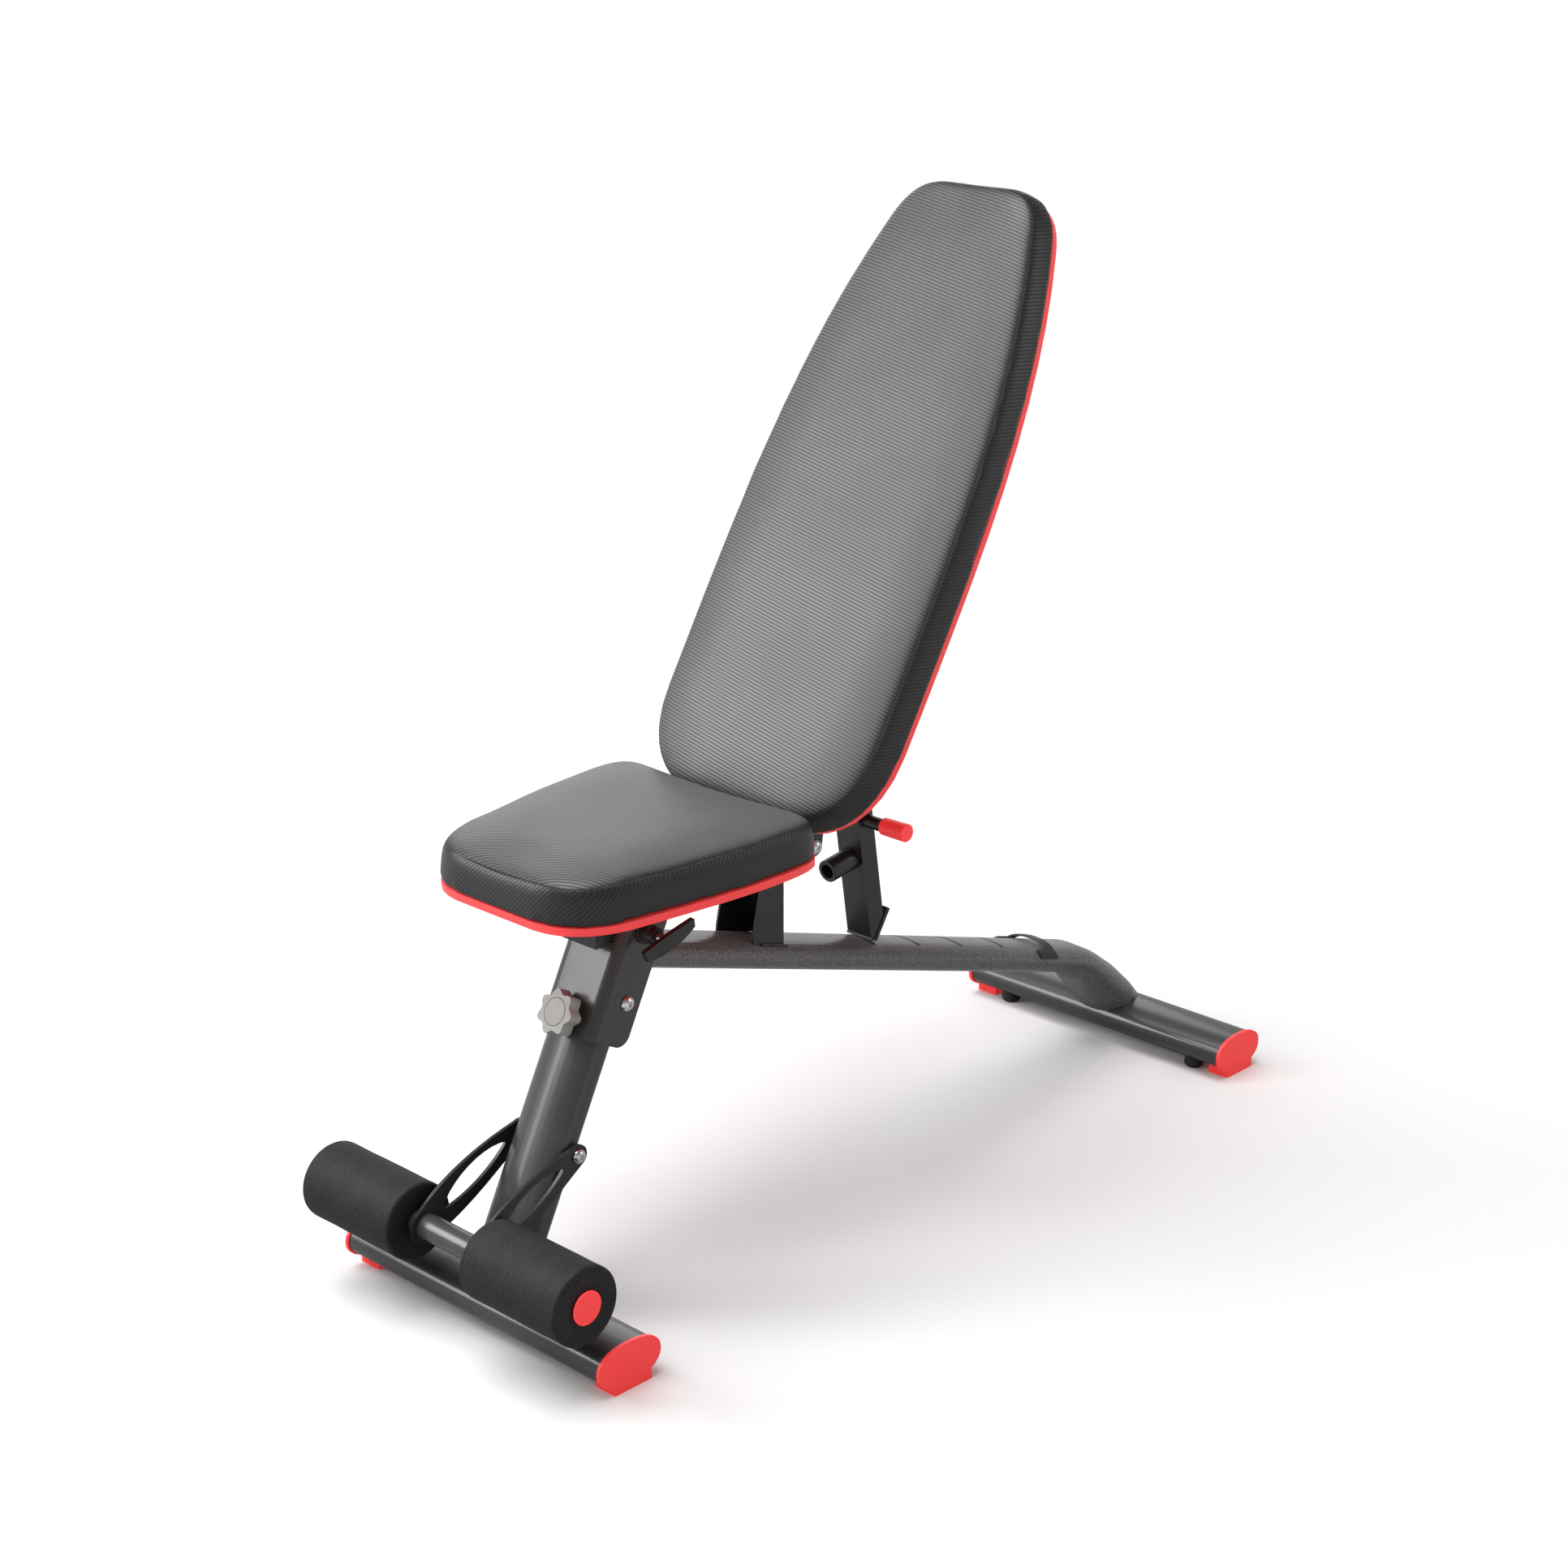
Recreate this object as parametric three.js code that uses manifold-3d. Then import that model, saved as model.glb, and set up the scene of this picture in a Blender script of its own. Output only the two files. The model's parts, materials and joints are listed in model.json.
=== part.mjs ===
// Adjustable decline and incline sit-up bench, as an assembly of its separate pieces.
// Units are millimetres. +X is the sitter's left, +Y runs from the foot rollers to the rear, +Z is up.
// Inside the bench group y = 0 is the front edge of the front foot blocks and z = 0 the floor; the
// group is then shifted so that the whole object is centred on the origin.

import * as THREE from "three";
import { mergeVertices } from "three/addons/utils/BufferGeometryUtils.js";
import Module from "manifold-3d";

const wasm = await Module();
wasm.setup();

// ---------------------------------------------------------------- driving dimensions

const GAP = 0.3; // between pieces that are welded, pressed or bolted together
const SHEET = 3.5; // thickness of the folded steel brackets
const WALL = 2.5; // wall of the oval tubes
const RUNNING = 0.3; // radial clearance round a pin that turns
const BOLT_RADIUS = 6;
const BOLT_HEAD_RADIUS = 8.5;
const ROLLER_BOLT_RADIUS = 5;
const ROLLER_BOLT_HEAD_RADIUS = 8;
const STUD_RADIUS = 5;
const PIN_RADIUS = 5;

const BENCH_WIDTH = 400; // over the foot caps, and over the roller plugs
const BAR_HALF_Y = 40; // foot bar tube, half of its section along Y
const BAR_HALF_Z = 21;
const BAR_Z = 30; // height of the foot bar axes
const FRONT_BAR_Y = 22;
const REAR_BAR_Y = 1050;

const LEG_ANGLE = 63.4; // degrees above the floor, leaning to the rear
const LEG_FOOT_Y = 18.5; // where the leg axis crosses the height of the bar axis
const LEG_HALF_X = 39;
const LEG_HALF_DEPTH = 20.7;
const LEG_PIVOT_U = 329; // along the leg axis, from the foot
const LEG_PIVOT_V = 7; // behind the leg axis
const LEG_TOP_RADIUS = 27.9;

const HEAD_BOTTOM_U = 282;
const HEAD_TOP_U = 425;
const HEAD_HALF_X = 43;
const HEAD_FRONT_V = -25;
const HEAD_REAR_V = 26;
const HEAD_CORNER = 15;
const NOTCH_HALF_X = 26.3; // notch in the front web, which the seat rail comes down into
const NOTCH_BOTTOM_U = 383;

const BEAM_ANGLE = 17.3; // degrees, falling to the rear
const BEAM_AXIS_Y = 650; // a point on the axis of the straight stretch
const BEAM_AXIS_Z = 222.4;
const BEAM_HALF_X = 40;
const BEAM_HALF_DEPTH = 17.5;
const SLOT_PITCH = 80;
const SLOT_COUNT = 4;
const SLOT_HALF_X = 23;
const SLOT_HALF_WIDTH = 3;

const SEAT_PIVOT_Y = 403;
const SEAT_PIVOT_Z = 415;
const SEAT_ANGLE = 1.1; // degrees, rising to the rear
const SEAT_LENGTH = 322;
const SEAT_FRONT = -367; // front edge of the pad, from the seat pivot
const SEAT_UNDERSIDE = 38.2; // underside of the seat base, above the seat pivot
const BASE_THICKNESS = 8;
const SEAT_PAD_THICKNESS = 47;

const BACK_ANGLE = 58.75; // degrees above the floor
const BACK_ORIGIN_Y = 396.6; // where the back's length is counted from, on the rear face of the base
const BACK_ORIGIN_Z = 434.3;
const BACK_START = 21; // lower end of the pads, along the back
const BACK_LENGTH = 750; // upper end of the pads, along the back
const BACK_PAD_THICKNESS = 42;
const BACK_PIVOT_S = 15; // along the back, from its lower end
const BACK_PIVOT_DEPTH = 63.9; // behind the rear face of the base
const STRUT_PIVOT_S = 210.8;
const STRUT_PIVOT_DEPTH = 32;

const STRUT_LEAN = 8.9; // degrees that the strut leans forwards from upright
const STRUT_HALF_X = 18;
const STRUT_HALF_DEPTH = 12;
const STRUT_WALL = 2;

const ROLLER_Y = -32;
const ROLLER_Z = 112;
const ROLLER_RADIUS = 42.5;
const ROLLER_INNER_X = 56;
const AXLE_RADIUS = 14;
const ROLLER_BOLT_U = 165.6; // bolt of the roller frame, along the leg
const ROLLER_BOLT_V = 4.4;

const PIN_U = 404.9; // pull pin of the seat, in the head bracket
const PIN_V = -2.1;
const KNOB_U = 299.2;

const ROUND = 20; // sides of a turned piece
const OVAL_SIDES = 28;
const OVAL_POWER = 2.3; // 2 would be an ellipse, larger is squarer

// ---------------------------------------------------------------- small helpers

const rad = THREE.MathUtils.degToRad;
const vec = (x, y, z) => new THREE.Vector3(x, y, z);

// Solid body for cutting and joining, from a closed geometry.
function solid(geometry) {
  const bare = geometry.clone();
  bare.deleteAttribute("normal");
  bare.deleteAttribute("uv");
  const merged = mergeVertices(bare, 1e-4);
  return new wasm.Manifold(
    new wasm.Mesh({
      numProp: 3,
      vertProperties: new Float32Array(merged.attributes.position.array),
      triVerts: new Uint32Array(merged.index.array),
    }),
  );
}

// Geometry with flat normals, from a cut or joined solid.
function geometryOf(body) {
  const data = body.getMesh();
  const geometry = new THREE.BufferGeometry();
  geometry.setAttribute("position", new THREE.BufferAttribute(data.vertProperties, 3));
  geometry.setIndex(new THREE.BufferAttribute(data.triVerts, 1));
  geometry.computeVertexNormals();
  return geometry;
}

function cut(geometry, ...tools) {
  return geometryOf(tools.reduce((body, tool) => body.subtract(solid(tool)), solid(geometry)));
}

function join(geometry, ...others) {
  return geometryOf(others.reduce((body, other) => body.add(solid(other)), solid(geometry)));
}

function common(geometry, other) {
  return geometryOf(solid(geometry).intersect(solid(other)));
}

function box(x0, x1, y0, y1, z0, z1) {
  const geometry = new THREE.BoxGeometry(x1 - x0, y1 - y0, z1 - z0);
  return geometry.translate((x0 + x1) / 2, (y0 + y1) / 2, (z0 + z1) / 2);
}

// Outline in the Y-Z plane, extruded from x0 to x1.
function sheetX(shape, x0, x1, curveSegments = 8) {
  const geometry = new THREE.ExtrudeGeometry(shape, { depth: x1 - x0, bevelEnabled: false, curveSegments });
  const turn = new THREE.Matrix4().makeBasis(vec(0, 1, 0), vec(0, 0, 1), vec(1, 0, 0));
  return geometry.applyMatrix4(turn).translate(x0, 0, 0);
}

// Outline in the X-Y plane, extruded from z0 to z1.
function sheetZ(shape, z0, z1, curveSegments = 8) {
  const geometry = new THREE.ExtrudeGeometry(shape, { depth: z1 - z0, bevelEnabled: false, curveSegments });
  return geometry.translate(0, 0, z0);
}

// Outline with x along X and y along Z, extruded from y0 to y1.
function sheetY(shape, y0, y1, curveSegments = 8) {
  const geometry = new THREE.ExtrudeGeometry(shape, { depth: y1 - y0, bevelEnabled: false, curveSegments });
  return geometry.rotateX(Math.PI / 2).translate(0, y1, 0);
}

// Bar or hole cutter along X.
function rodX(radius, x0, x1, y = 0, z = 0, sides = ROUND) {
  const geometry = new THREE.CylinderGeometry(radius, radius, x1 - x0, sides);
  return geometry.rotateZ(Math.PI / 2).translate((x0 + x1) / 2, y, z);
}

// Bar or hole cutter along Y.
function rodY(radius, y0, y1, x = 0, z = 0, sides = ROUND) {
  const geometry = new THREE.CylinderGeometry(radius, radius, y1 - y0, sides);
  return geometry.translate(x, (y0 + y1) / 2, z);
}

// Bar or hole cutter along Z.
function rodZ(radius, z0, z1, x = 0, y = 0, sides = ROUND) {
  const geometry = new THREE.CylinderGeometry(radius, radius, z1 - z0, sides);
  return geometry.rotateX(Math.PI / 2).translate(x, y, (z0 + z1) / 2);
}

// Piece turned about the X axis, from a profile of [x, radius] pairs that closes on itself.
function turnedX(profile, sides = ROUND) {
  const points = profile.map(([x, radius]) => new THREE.Vector2(radius, x));
  return new THREE.LatheGeometry(points, sides).rotateZ(-Math.PI / 2);
}

// Points of the oval that the bench's tubes share.
function oval(halfA, halfB, sides = OVAL_SIDES) {
  const points = [];
  for (let i = 0; i < sides; i++) {
    const angle = (2 * Math.PI * i) / sides;
    const c = Math.cos(angle);
    const s = Math.sin(angle);
    const power = 2 / OVAL_POWER;
    points.push(
      new THREE.Vector2(
        halfA * Math.sign(c) * Math.abs(c) ** power,
        halfB * Math.sign(s) * Math.abs(s) ** power,
      ),
    );
  }
  return points;
}

// Closed skin through rings of equal point count, with flat ends.
function loft(rings) {
  const count = rings[0].length;
  const corners = rings.flat().flatMap((p) => [p.x, p.y, p.z]);
  const faces = [];
  for (let r = 0; r + 1 < rings.length; r++) {
    for (let i = 0; i < count; i++) {
      const a = r * count + i;
      const b = r * count + ((i + 1) % count);
      faces.push(a, b + count, b, a, a + count, b + count);
    }
  }
  const last = (rings.length - 1) * count;
  for (let i = 1; i + 1 < count; i++) {
    faces.push(0, i, i + 1);
    faces.push(last, last + i + 1, last + i);
  }
  const geometry = new THREE.BufferGeometry();
  geometry.setAttribute("position", new THREE.Float32BufferAttribute(corners, 3));
  geometry.setIndex(faces);
  geometry.computeVertexNormals();
  return geometry;
}

// Plate outline of two round ends joined by their common tangents' chords.
function link(ya, za, ra, yb, zb, rb) {
  const along = Math.atan2(zb - za, yb - ya);
  const lean = Math.asin((ra - rb) / Math.hypot(yb - ya, zb - za));
  const shape = new THREE.Shape();
  shape.absarc(yb, zb, rb, along - Math.PI / 2 + lean, along + Math.PI / 2 - lean, false);
  shape.absarc(ya, za, ra, along + Math.PI / 2 - lean, along + (3 * Math.PI) / 2 + lean, false);
  return shape;
}

// ---------------------------------------------------------------- finishes

const finish = (color, roughness, metalness) => () =>
  new THREE.MeshStandardMaterial({ color, roughness, metalness });

const charcoalPaint = finish(0x454545, 0.4, 0.5);
const speckledPaint = finish(0x5a5a5a, 0.6, 0.4);
const blackPaint = finish(0x2b2a2b, 0.5, 0.3);
const chrome = finish(0xd8d8d8, 0.15, 1);
const redPlastic = finish(0xf04a4c, 0.4, 0);
const greyPlastic = finish(0xa6a69f, 0.5, 0);
const blackRubber = finish(0x1c1c1c, 0.9, 0);
const foamRubber = finish(0x2a2a2a, 0.95, 0);
const twillVinyl = finish(0x6b6b6b, 0.6, 0);
const redVinyl = finish(0xff5559, 0.5, 0);

// ---------------------------------------------------------------- assembly groups

const bench = new THREE.Group();
const headGroup = new THREE.Group(); // y is behind the leg axis, z is along it
headGroup.position.set(0, LEG_FOOT_Y, BAR_Z);
headGroup.rotation.x = -rad(90 - LEG_ANGLE);

const seatGroup = new THREE.Group(); // origin on the seat pivot
seatGroup.position.set(0, SEAT_PIVOT_Y, SEAT_PIVOT_Z);
seatGroup.rotation.x = rad(SEAT_ANGLE);

const backGroup = new THREE.Group(); // y is the depth behind the base, z runs up the back
backGroup.position.set(0, BACK_ORIGIN_Y, BACK_ORIGIN_Z);
backGroup.rotation.x = -rad(90 - BACK_ANGLE);

// The strut stands at its own lean, hung from its pivot on the back frame.
const strutGroup = new THREE.Group();
const backTilt = rad(90 - BACK_ANGLE);
strutGroup.position.set(
  0,
  BACK_ORIGIN_Y + STRUT_PIVOT_S * Math.sin(backTilt) + STRUT_PIVOT_DEPTH * Math.cos(backTilt),
  BACK_ORIGIN_Z + STRUT_PIVOT_S * Math.cos(backTilt) - STRUT_PIVOT_DEPTH * Math.sin(backTilt),
);
strutGroup.rotation.x = rad(STRUT_LEAN);

bench.add(headGroup, seatGroup, backGroup, strutGroup);
bench.updateMatrixWorld(true);

// Geometry given in one group's frame, seen from another group's frame.
function seenFrom(group, geometry, from = bench) {
  const matrix = group.matrixWorld.clone().invert().multiply(from.matrixWorld);
  return geometry.clone().applyMatrix4(matrix);
}

function add(group, name, geometry, material) {
  const mesh = new THREE.Mesh(geometry, material());
  mesh.name = name;
  group.add(mesh);
}

// ---------------------------------------------------------------- fasteners

const HEAD_HEIGHT = 5;

// Domed bolt along X with a hexagon socket: the head is on the +X side, from x = seat outwards.
function domedBolt(seat, shankEnd, radius, headRadius) {
  const dome = [
    [seat, headRadius],
    [seat + 0.25 * HEAD_HEIGHT, headRadius],
    [seat + 0.7 * HEAD_HEIGHT, 0.82 * headRadius],
    [seat + HEAD_HEIGHT, 0.5 * headRadius],
    [seat + HEAD_HEIGHT, 0],
  ];
  const bolt = turnedX([[shankEnd, 0], [shankEnd, radius], [seat, radius], ...dome]);
  const socket = rodX(0.38 * headRadius, seat + 0.45 * HEAD_HEIGHT, seat + 2 * HEAD_HEIGHT, 0, 0, 6);
  return cut(bolt, socket);
}

// Domed sleeve nut on the -X side, with a blind bore for the end of the bolt.
function domedNut(seat, boltEnd, radius, headRadius) {
  const profile = [
    [boltEnd - GAP, 0],
    [boltEnd - GAP, radius + GAP],
    [seat, radius + GAP],
    [seat, headRadius],
    [seat - 0.25 * HEAD_HEIGHT, headRadius],
    [seat - 0.7 * HEAD_HEIGHT, 0.82 * headRadius],
    [seat - HEAD_HEIGHT, 0.5 * headRadius],
    [seat - HEAD_HEIGHT, 0],
  ];
  return turnedX(profile.reverse());
}

function addBoltPair(group, name, y, z, seat, radius = BOLT_RADIUS, headRadius = BOLT_HEAD_RADIUS) {
  const boltEnd = -(seat + 0.4 * HEAD_HEIGHT);
  add(group, name + "_bolt", domedBolt(seat, boltEnd, radius, headRadius).translate(0, y, z), chrome);
  add(group, name + "_nut", domedNut(-seat, boltEnd, radius, headRadius).translate(0, y, z), chrome);
}

const SCREW_RADIUS = 3;

// Pan head screw that enters a base along +Z from below, its head seated at z = 0.
function screwUp(length) {
  const profile = [
    [-3.5, 0],
    [-3.5, 4.5],
    [-2, 6.5],
    [0, 6.5],
    [0, SCREW_RADIUS],
    [length, SCREW_RADIUS],
    [length, 0],
  ];
  return turnedX(profile, 16).rotateY(-Math.PI / 2);
}

// ---------------------------------------------------------------- foot bars and caps

const CAP_PLATE = 4;
const CAP_PROUD = 2;
const BLOCK_DEPTH = 28.6; // of the foot block under the bar, from the outer face inwards
const BLOCK_HALF_Y = 25;
const BLOCK_SHIFT = 4; // the block stands a little behind the bar axis
const BLOCK_HEIGHT = 18;
const PLUG_DEPTH = 12;
const PLUG_HOLLOW = 8; // from the bar's outer face to the hollow inside the plug

// Solid oval along X with its axis at (y, z) = (0, 0).
function barSolid(grow, x0, x1) {
  return sheetX(new THREE.Shape(oval(BAR_HALF_Y + grow, BAR_HALF_Z + grow)), x0, x1);
}

function footBar() {
  const half = BENCH_WIDTH / 2 - CAP_PLATE - GAP;
  return cut(barSolid(0, -half, half), barSolid(-WALL, -half - 1, half + 1));
}

// Cap on the +X end: oval plate, plug inside the tube, and the foot block under the tube.
function footCap(side) {
  const outer = BENCH_WIDTH / 2;
  const plateInner = outer - CAP_PLATE;
  const plugInner = plateInner - PLUG_DEPTH;
  const block = box(
    outer - BLOCK_DEPTH,
    outer,
    BLOCK_SHIFT - BLOCK_HALF_Y,
    BLOCK_SHIFT + BLOCK_HALF_Y,
    -BAR_Z,
    -BAR_Z + BLOCK_HEIGHT,
  );
  const blockClear = cut(block, barSolid(GAP, outer - BLOCK_DEPTH - 1, plateInner));
  const plug = cut(
    barSolid(-WALL - GAP, plugInner, plateInner + 1),
    barSolid(-PLUG_HOLLOW, plugInner - 1, plateInner),
  );
  const cap = join(barSolid(CAP_PROUD, plateInner, outer), blockClear, plug);
  return side > 0 ? cap : mirrored(cap);
}

// Mirror image across the middle plane.
function mirrored(geometry) {
  const flat = geometry.index ? geometry.toNonIndexed() : geometry.clone();
  const p = flat.attributes.position;
  for (let i = 0; i < p.count; i += 3) {
    const second = [p.getX(i + 1), p.getY(i + 1), p.getZ(i + 1)];
    const third = [p.getX(i + 2), p.getY(i + 2), p.getZ(i + 2)];
    p.setXYZ(i, -p.getX(i), p.getY(i), p.getZ(i));
    p.setXYZ(i + 1, -third[0], third[1], third[2]);
    p.setXYZ(i + 2, -second[0], second[1], second[2]);
  }
  flat.computeVertexNormals();
  return flat;
}

for (const [end, y] of [["front", FRONT_BAR_Y], ["rear", REAR_BAR_Y]]) {
  add(bench, end + "_foot_bar", footBar().translate(0, y, BAR_Z), charcoalPaint);
  add(bench, end + "_cap_left", footCap(1).translate(0, y, BAR_Z), redPlastic);
  add(bench, end + "_cap_right", footCap(-1).translate(0, y, BAR_Z), redPlastic);
}

// Round rubber feet under the rear bar, just inside its caps.
const RUBBER_FOOT_X = 147;
const RUBBER_FOOT_Y = REAR_BAR_Y - 18;

function rubberFoot(x) {
  const profile = [[0, 0], [0, 9.5], [3, 12], [8, 12], [16, 10], [16, 0]];
  const foot = turnedX(profile, 20).rotateY(-Math.PI / 2).translate(x, RUBBER_FOOT_Y, 0);
  const bar = barSolid(GAP, -BENCH_WIDTH / 2, BENCH_WIDTH / 2).translate(0, REAR_BAR_Y, BAR_Z);
  return cut(foot, bar);
}

add(bench, "rear_rubber_foot_left", rubberFoot(RUBBER_FOOT_X), blackRubber);
add(bench, "rear_rubber_foot_right", rubberFoot(-RUBBER_FOOT_X), blackRubber);

// ---------------------------------------------------------------- front leg and head bracket

const FRONT_BAR_IN_HEAD = vec(0, FRONT_BAR_Y, BAR_Z);

// Space the top of the leg may sweep as it folds, inside the rounded corners of the bracket.
function legTopRoom() {
  const corner = HEAD_CORNER - SHEET;
  const innerHalf = HEAD_HALF_X - SHEET;
  const profile = [[0, 0], [0, LEG_TOP_RADIUS]];
  for (let i = 0; i <= 6; i++) {
    const x = innerHalf - corner + ((corner - GAP) * i) / 6;
    const wall = Math.sqrt(corner ** 2 - (x - innerHalf + corner) ** 2);
    const radius = LEG_PIVOT_V - HEAD_FRONT_V - SHEET - corner + wall;
    profile.push([x, Math.min(radius - 2 * GAP, LEG_TOP_RADIUS)]);
  }
  profile.push([innerHalf - GAP, 0]);
  const half = turnedX(profile).translate(0, LEG_PIVOT_V, LEG_PIVOT_U);
  return join(half, mirrored(half));
}

function frontLeg() {
  const outer = sheetZ(new THREE.Shape(oval(LEG_HALF_X, LEG_HALF_DEPTH)), 0, 400);
  const inner = sheetZ(new THREE.Shape(oval(LEG_HALF_X - WALL, LEG_HALF_DEPTH - WALL)), -20, 420);
  const profile = new THREE.Shape();
  profile.moveTo(-LEG_HALF_X, -10);
  profile.lineTo(LEG_HALF_X, -10);
  profile.lineTo(LEG_PIVOT_V + LEG_TOP_RADIUS, LEG_PIVOT_U);
  profile.absarc(LEG_PIVOT_V, LEG_PIVOT_U, LEG_TOP_RADIUS, 0, Math.PI, false);
  profile.lineTo(-LEG_HALF_X, LEG_PIVOT_U - 10);
  const rounded = common(cut(outer, inner), sheetX(profile, -50, 50, 16));
  const bar = barSolid(GAP, -100, 100).translate(...FRONT_BAR_IN_HEAD.toArray());
  const aboveBolt = box(-60, 60, -60, 60, LEG_PIVOT_U, LEG_PIVOT_U + 60);
  return cut(
    rounded,
    cut(aboveBolt, legTopRoom()),
    seenFrom(headGroup, bar),
    rodX(BOLT_RADIUS + RUNNING, -60, 60, LEG_PIVOT_V, LEG_PIVOT_U),
    rodX(ROLLER_BOLT_RADIUS + GAP, -60, 60, ROLLER_BOLT_V, ROLLER_BOLT_U),
  );
}

// U-shaped outline of the head bracket, seen along the leg: web at the front, open to the rear.
function headOutline(halfX, frontV, corner) {
  const shape = new THREE.Shape();
  shape.moveTo(halfX, HEAD_REAR_V);
  shape.lineTo(-halfX, HEAD_REAR_V);
  shape.absarc(-halfX + corner, frontV + corner, corner, Math.PI, 1.5 * Math.PI, false);
  shape.absarc(halfX - corner, frontV + corner, corner, 1.5 * Math.PI, 2 * Math.PI, false);
  return shape;
}

function headBracket() {
  const cornerRadius = HEAD_CORNER;
  const outer = sheetZ(headOutline(HEAD_HALF_X, HEAD_FRONT_V, cornerRadius), HEAD_BOTTOM_U, HEAD_TOP_U, 5);
  const innerShape = headOutline(HEAD_HALF_X - SHEET, HEAD_FRONT_V + SHEET, cornerRadius - SHEET);
  const inner = sheetZ(innerShape, HEAD_BOTTOM_U - 1, HEAD_TOP_U + 1, 5);
  const rearOpening = box(
    -HEAD_HALF_X + SHEET,
    HEAD_HALF_X - SHEET,
    HEAD_REAR_V - 1,
    HEAD_REAR_V + 5,
    HEAD_BOTTOM_U - 1,
    HEAD_TOP_U + 1,
  );
  const railNotch = box(
    -NOTCH_HALF_X,
    NOTCH_HALF_X,
    HEAD_FRONT_V - 5,
    HEAD_FRONT_V + SHEET + 5,
    NOTCH_BOTTOM_U,
    HEAD_TOP_U + 5,
  );
  const cornerV = HEAD_REAR_V - cornerRadius;
  const cornerU = HEAD_BOTTOM_U + cornerRadius;
  const cornerWaste = box(-60, 60, cornerV, HEAD_REAR_V + 5, HEAD_BOTTOM_U - 5, cornerU);
  const cornerKeep = rodX(cornerRadius, -70, 70, cornerV, cornerU, 32);
  return cut(
    outer,
    inner,
    rearOpening,
    railNotch,
    cut(cornerWaste, cornerKeep),
    rodX(BOLT_RADIUS + GAP, -60, 60, LEG_PIVOT_V, LEG_PIVOT_U),
    rodY(STUD_RADIUS + RUNNING, HEAD_FRONT_V - 5, HEAD_FRONT_V + 10, 0, KNOB_U),
    rodX(PIN_RADIUS + RUNNING, 0, 60, PIN_V, PIN_U),
  );
}

const LEG_SLEEVE_RADIUS = 9.5;

// Sleeve welded inside the leg, which the pivot bolt runs through.
function legSleeve() {
  const inset = WALL + 2 * GAP;
  const inside = sheetZ(new THREE.Shape(oval(LEG_HALF_X - inset, LEG_HALF_DEPTH - inset)), 200, 400);
  return cut(
    common(rodX(LEG_SLEEVE_RADIUS, -LEG_HALF_X, LEG_HALF_X, LEG_PIVOT_V, LEG_PIVOT_U), inside),
    rodX(BOLT_RADIUS + RUNNING, -60, 60, LEG_PIVOT_V, LEG_PIVOT_U),
  );
}

add(headGroup, "front_leg", frontLeg(), charcoalPaint);
add(headGroup, "leg_pivot_sleeve", legSleeve(), blackPaint);
add(headGroup, "head_bracket", headBracket(), charcoalPaint);
addBoltPair(headGroup, "leg_pivot", LEG_PIVOT_V, LEG_PIVOT_U, HEAD_HALF_X + GAP);

// ---------------------------------------------------------------- star knob

const KNOB_LOBES = 7;
const KNOB_RADIUS = 22; // mean radius of the lobed rim
const KNOB_WAVE = 2.6;
const KNOB_FACE_V = -46.5;
const KNOB_BACK_V = -31;
const KNOB_NECK_RADIUS = 11;
const KNOB_CAP_RADIUS = 15; // recess for the inset cap
const KNOB_CAP_DEPTH = 1.5;
const KNOB_STUD_START = KNOB_FACE_V + 8; // end of the stud, inside the knob

function starKnob() {
  const rim = [];
  const steps = KNOB_LOBES * 8;
  for (let i = 0; i < steps; i++) {
    const angle = (2 * Math.PI * i) / steps;
    const radius = KNOB_RADIUS + KNOB_WAVE * Math.cos(KNOB_LOBES * angle);
    rim.push(new THREE.Vector2(radius * Math.cos(angle), radius * Math.sin(angle)));
  }
  const body = sheetY(new THREE.Shape(rim), KNOB_FACE_V, KNOB_BACK_V);
  const neck = rodY(KNOB_NECK_RADIUS, KNOB_BACK_V - 1, HEAD_FRONT_V - 0.5);
  const recess = rodY(KNOB_CAP_RADIUS, KNOB_FACE_V - 1, KNOB_FACE_V + KNOB_CAP_DEPTH);
  const studHole = rodY(STUD_RADIUS + GAP, KNOB_STUD_START, 0);
  return cut(join(body, neck), recess, studHole).translate(0, 0, KNOB_U);
}

add(headGroup, "star_knob", starKnob(), greyPlastic);
add(
  headGroup,
  "knob_cap",
  rodY(KNOB_CAP_RADIUS - GAP, KNOB_FACE_V - 0.4, KNOB_FACE_V + KNOB_CAP_DEPTH - GAP).translate(0, 0, KNOB_U),
  greyPlastic,
);
add(
  headGroup,
  "knob_stud",
  rodY(STUD_RADIUS, KNOB_STUD_START + GAP, -LEG_HALF_DEPTH - 0.5).translate(0, 0, KNOB_U),
  chrome,
);

// ---------------------------------------------------------------- seat pull pin

const PIN_NOSE_X = 26;
const SLEEVE_INNER_X = HEAD_HALF_X + GAP;
const SLEEVE_OUTER_X = 63;
const SLEEVE_RADIUS = 11;
const SLEEVE_BORE = 8.5;
const SLEEVE_LIP = 2;
const PIN_SHOULDER_X = 44.2;
const PIN_SHOULDER_WIDTH = 1.5;
const PIN_TRAVEL = 7.5;
const HANDLE_X = 77;
const HANDLE_THICKNESS = 6;

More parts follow.
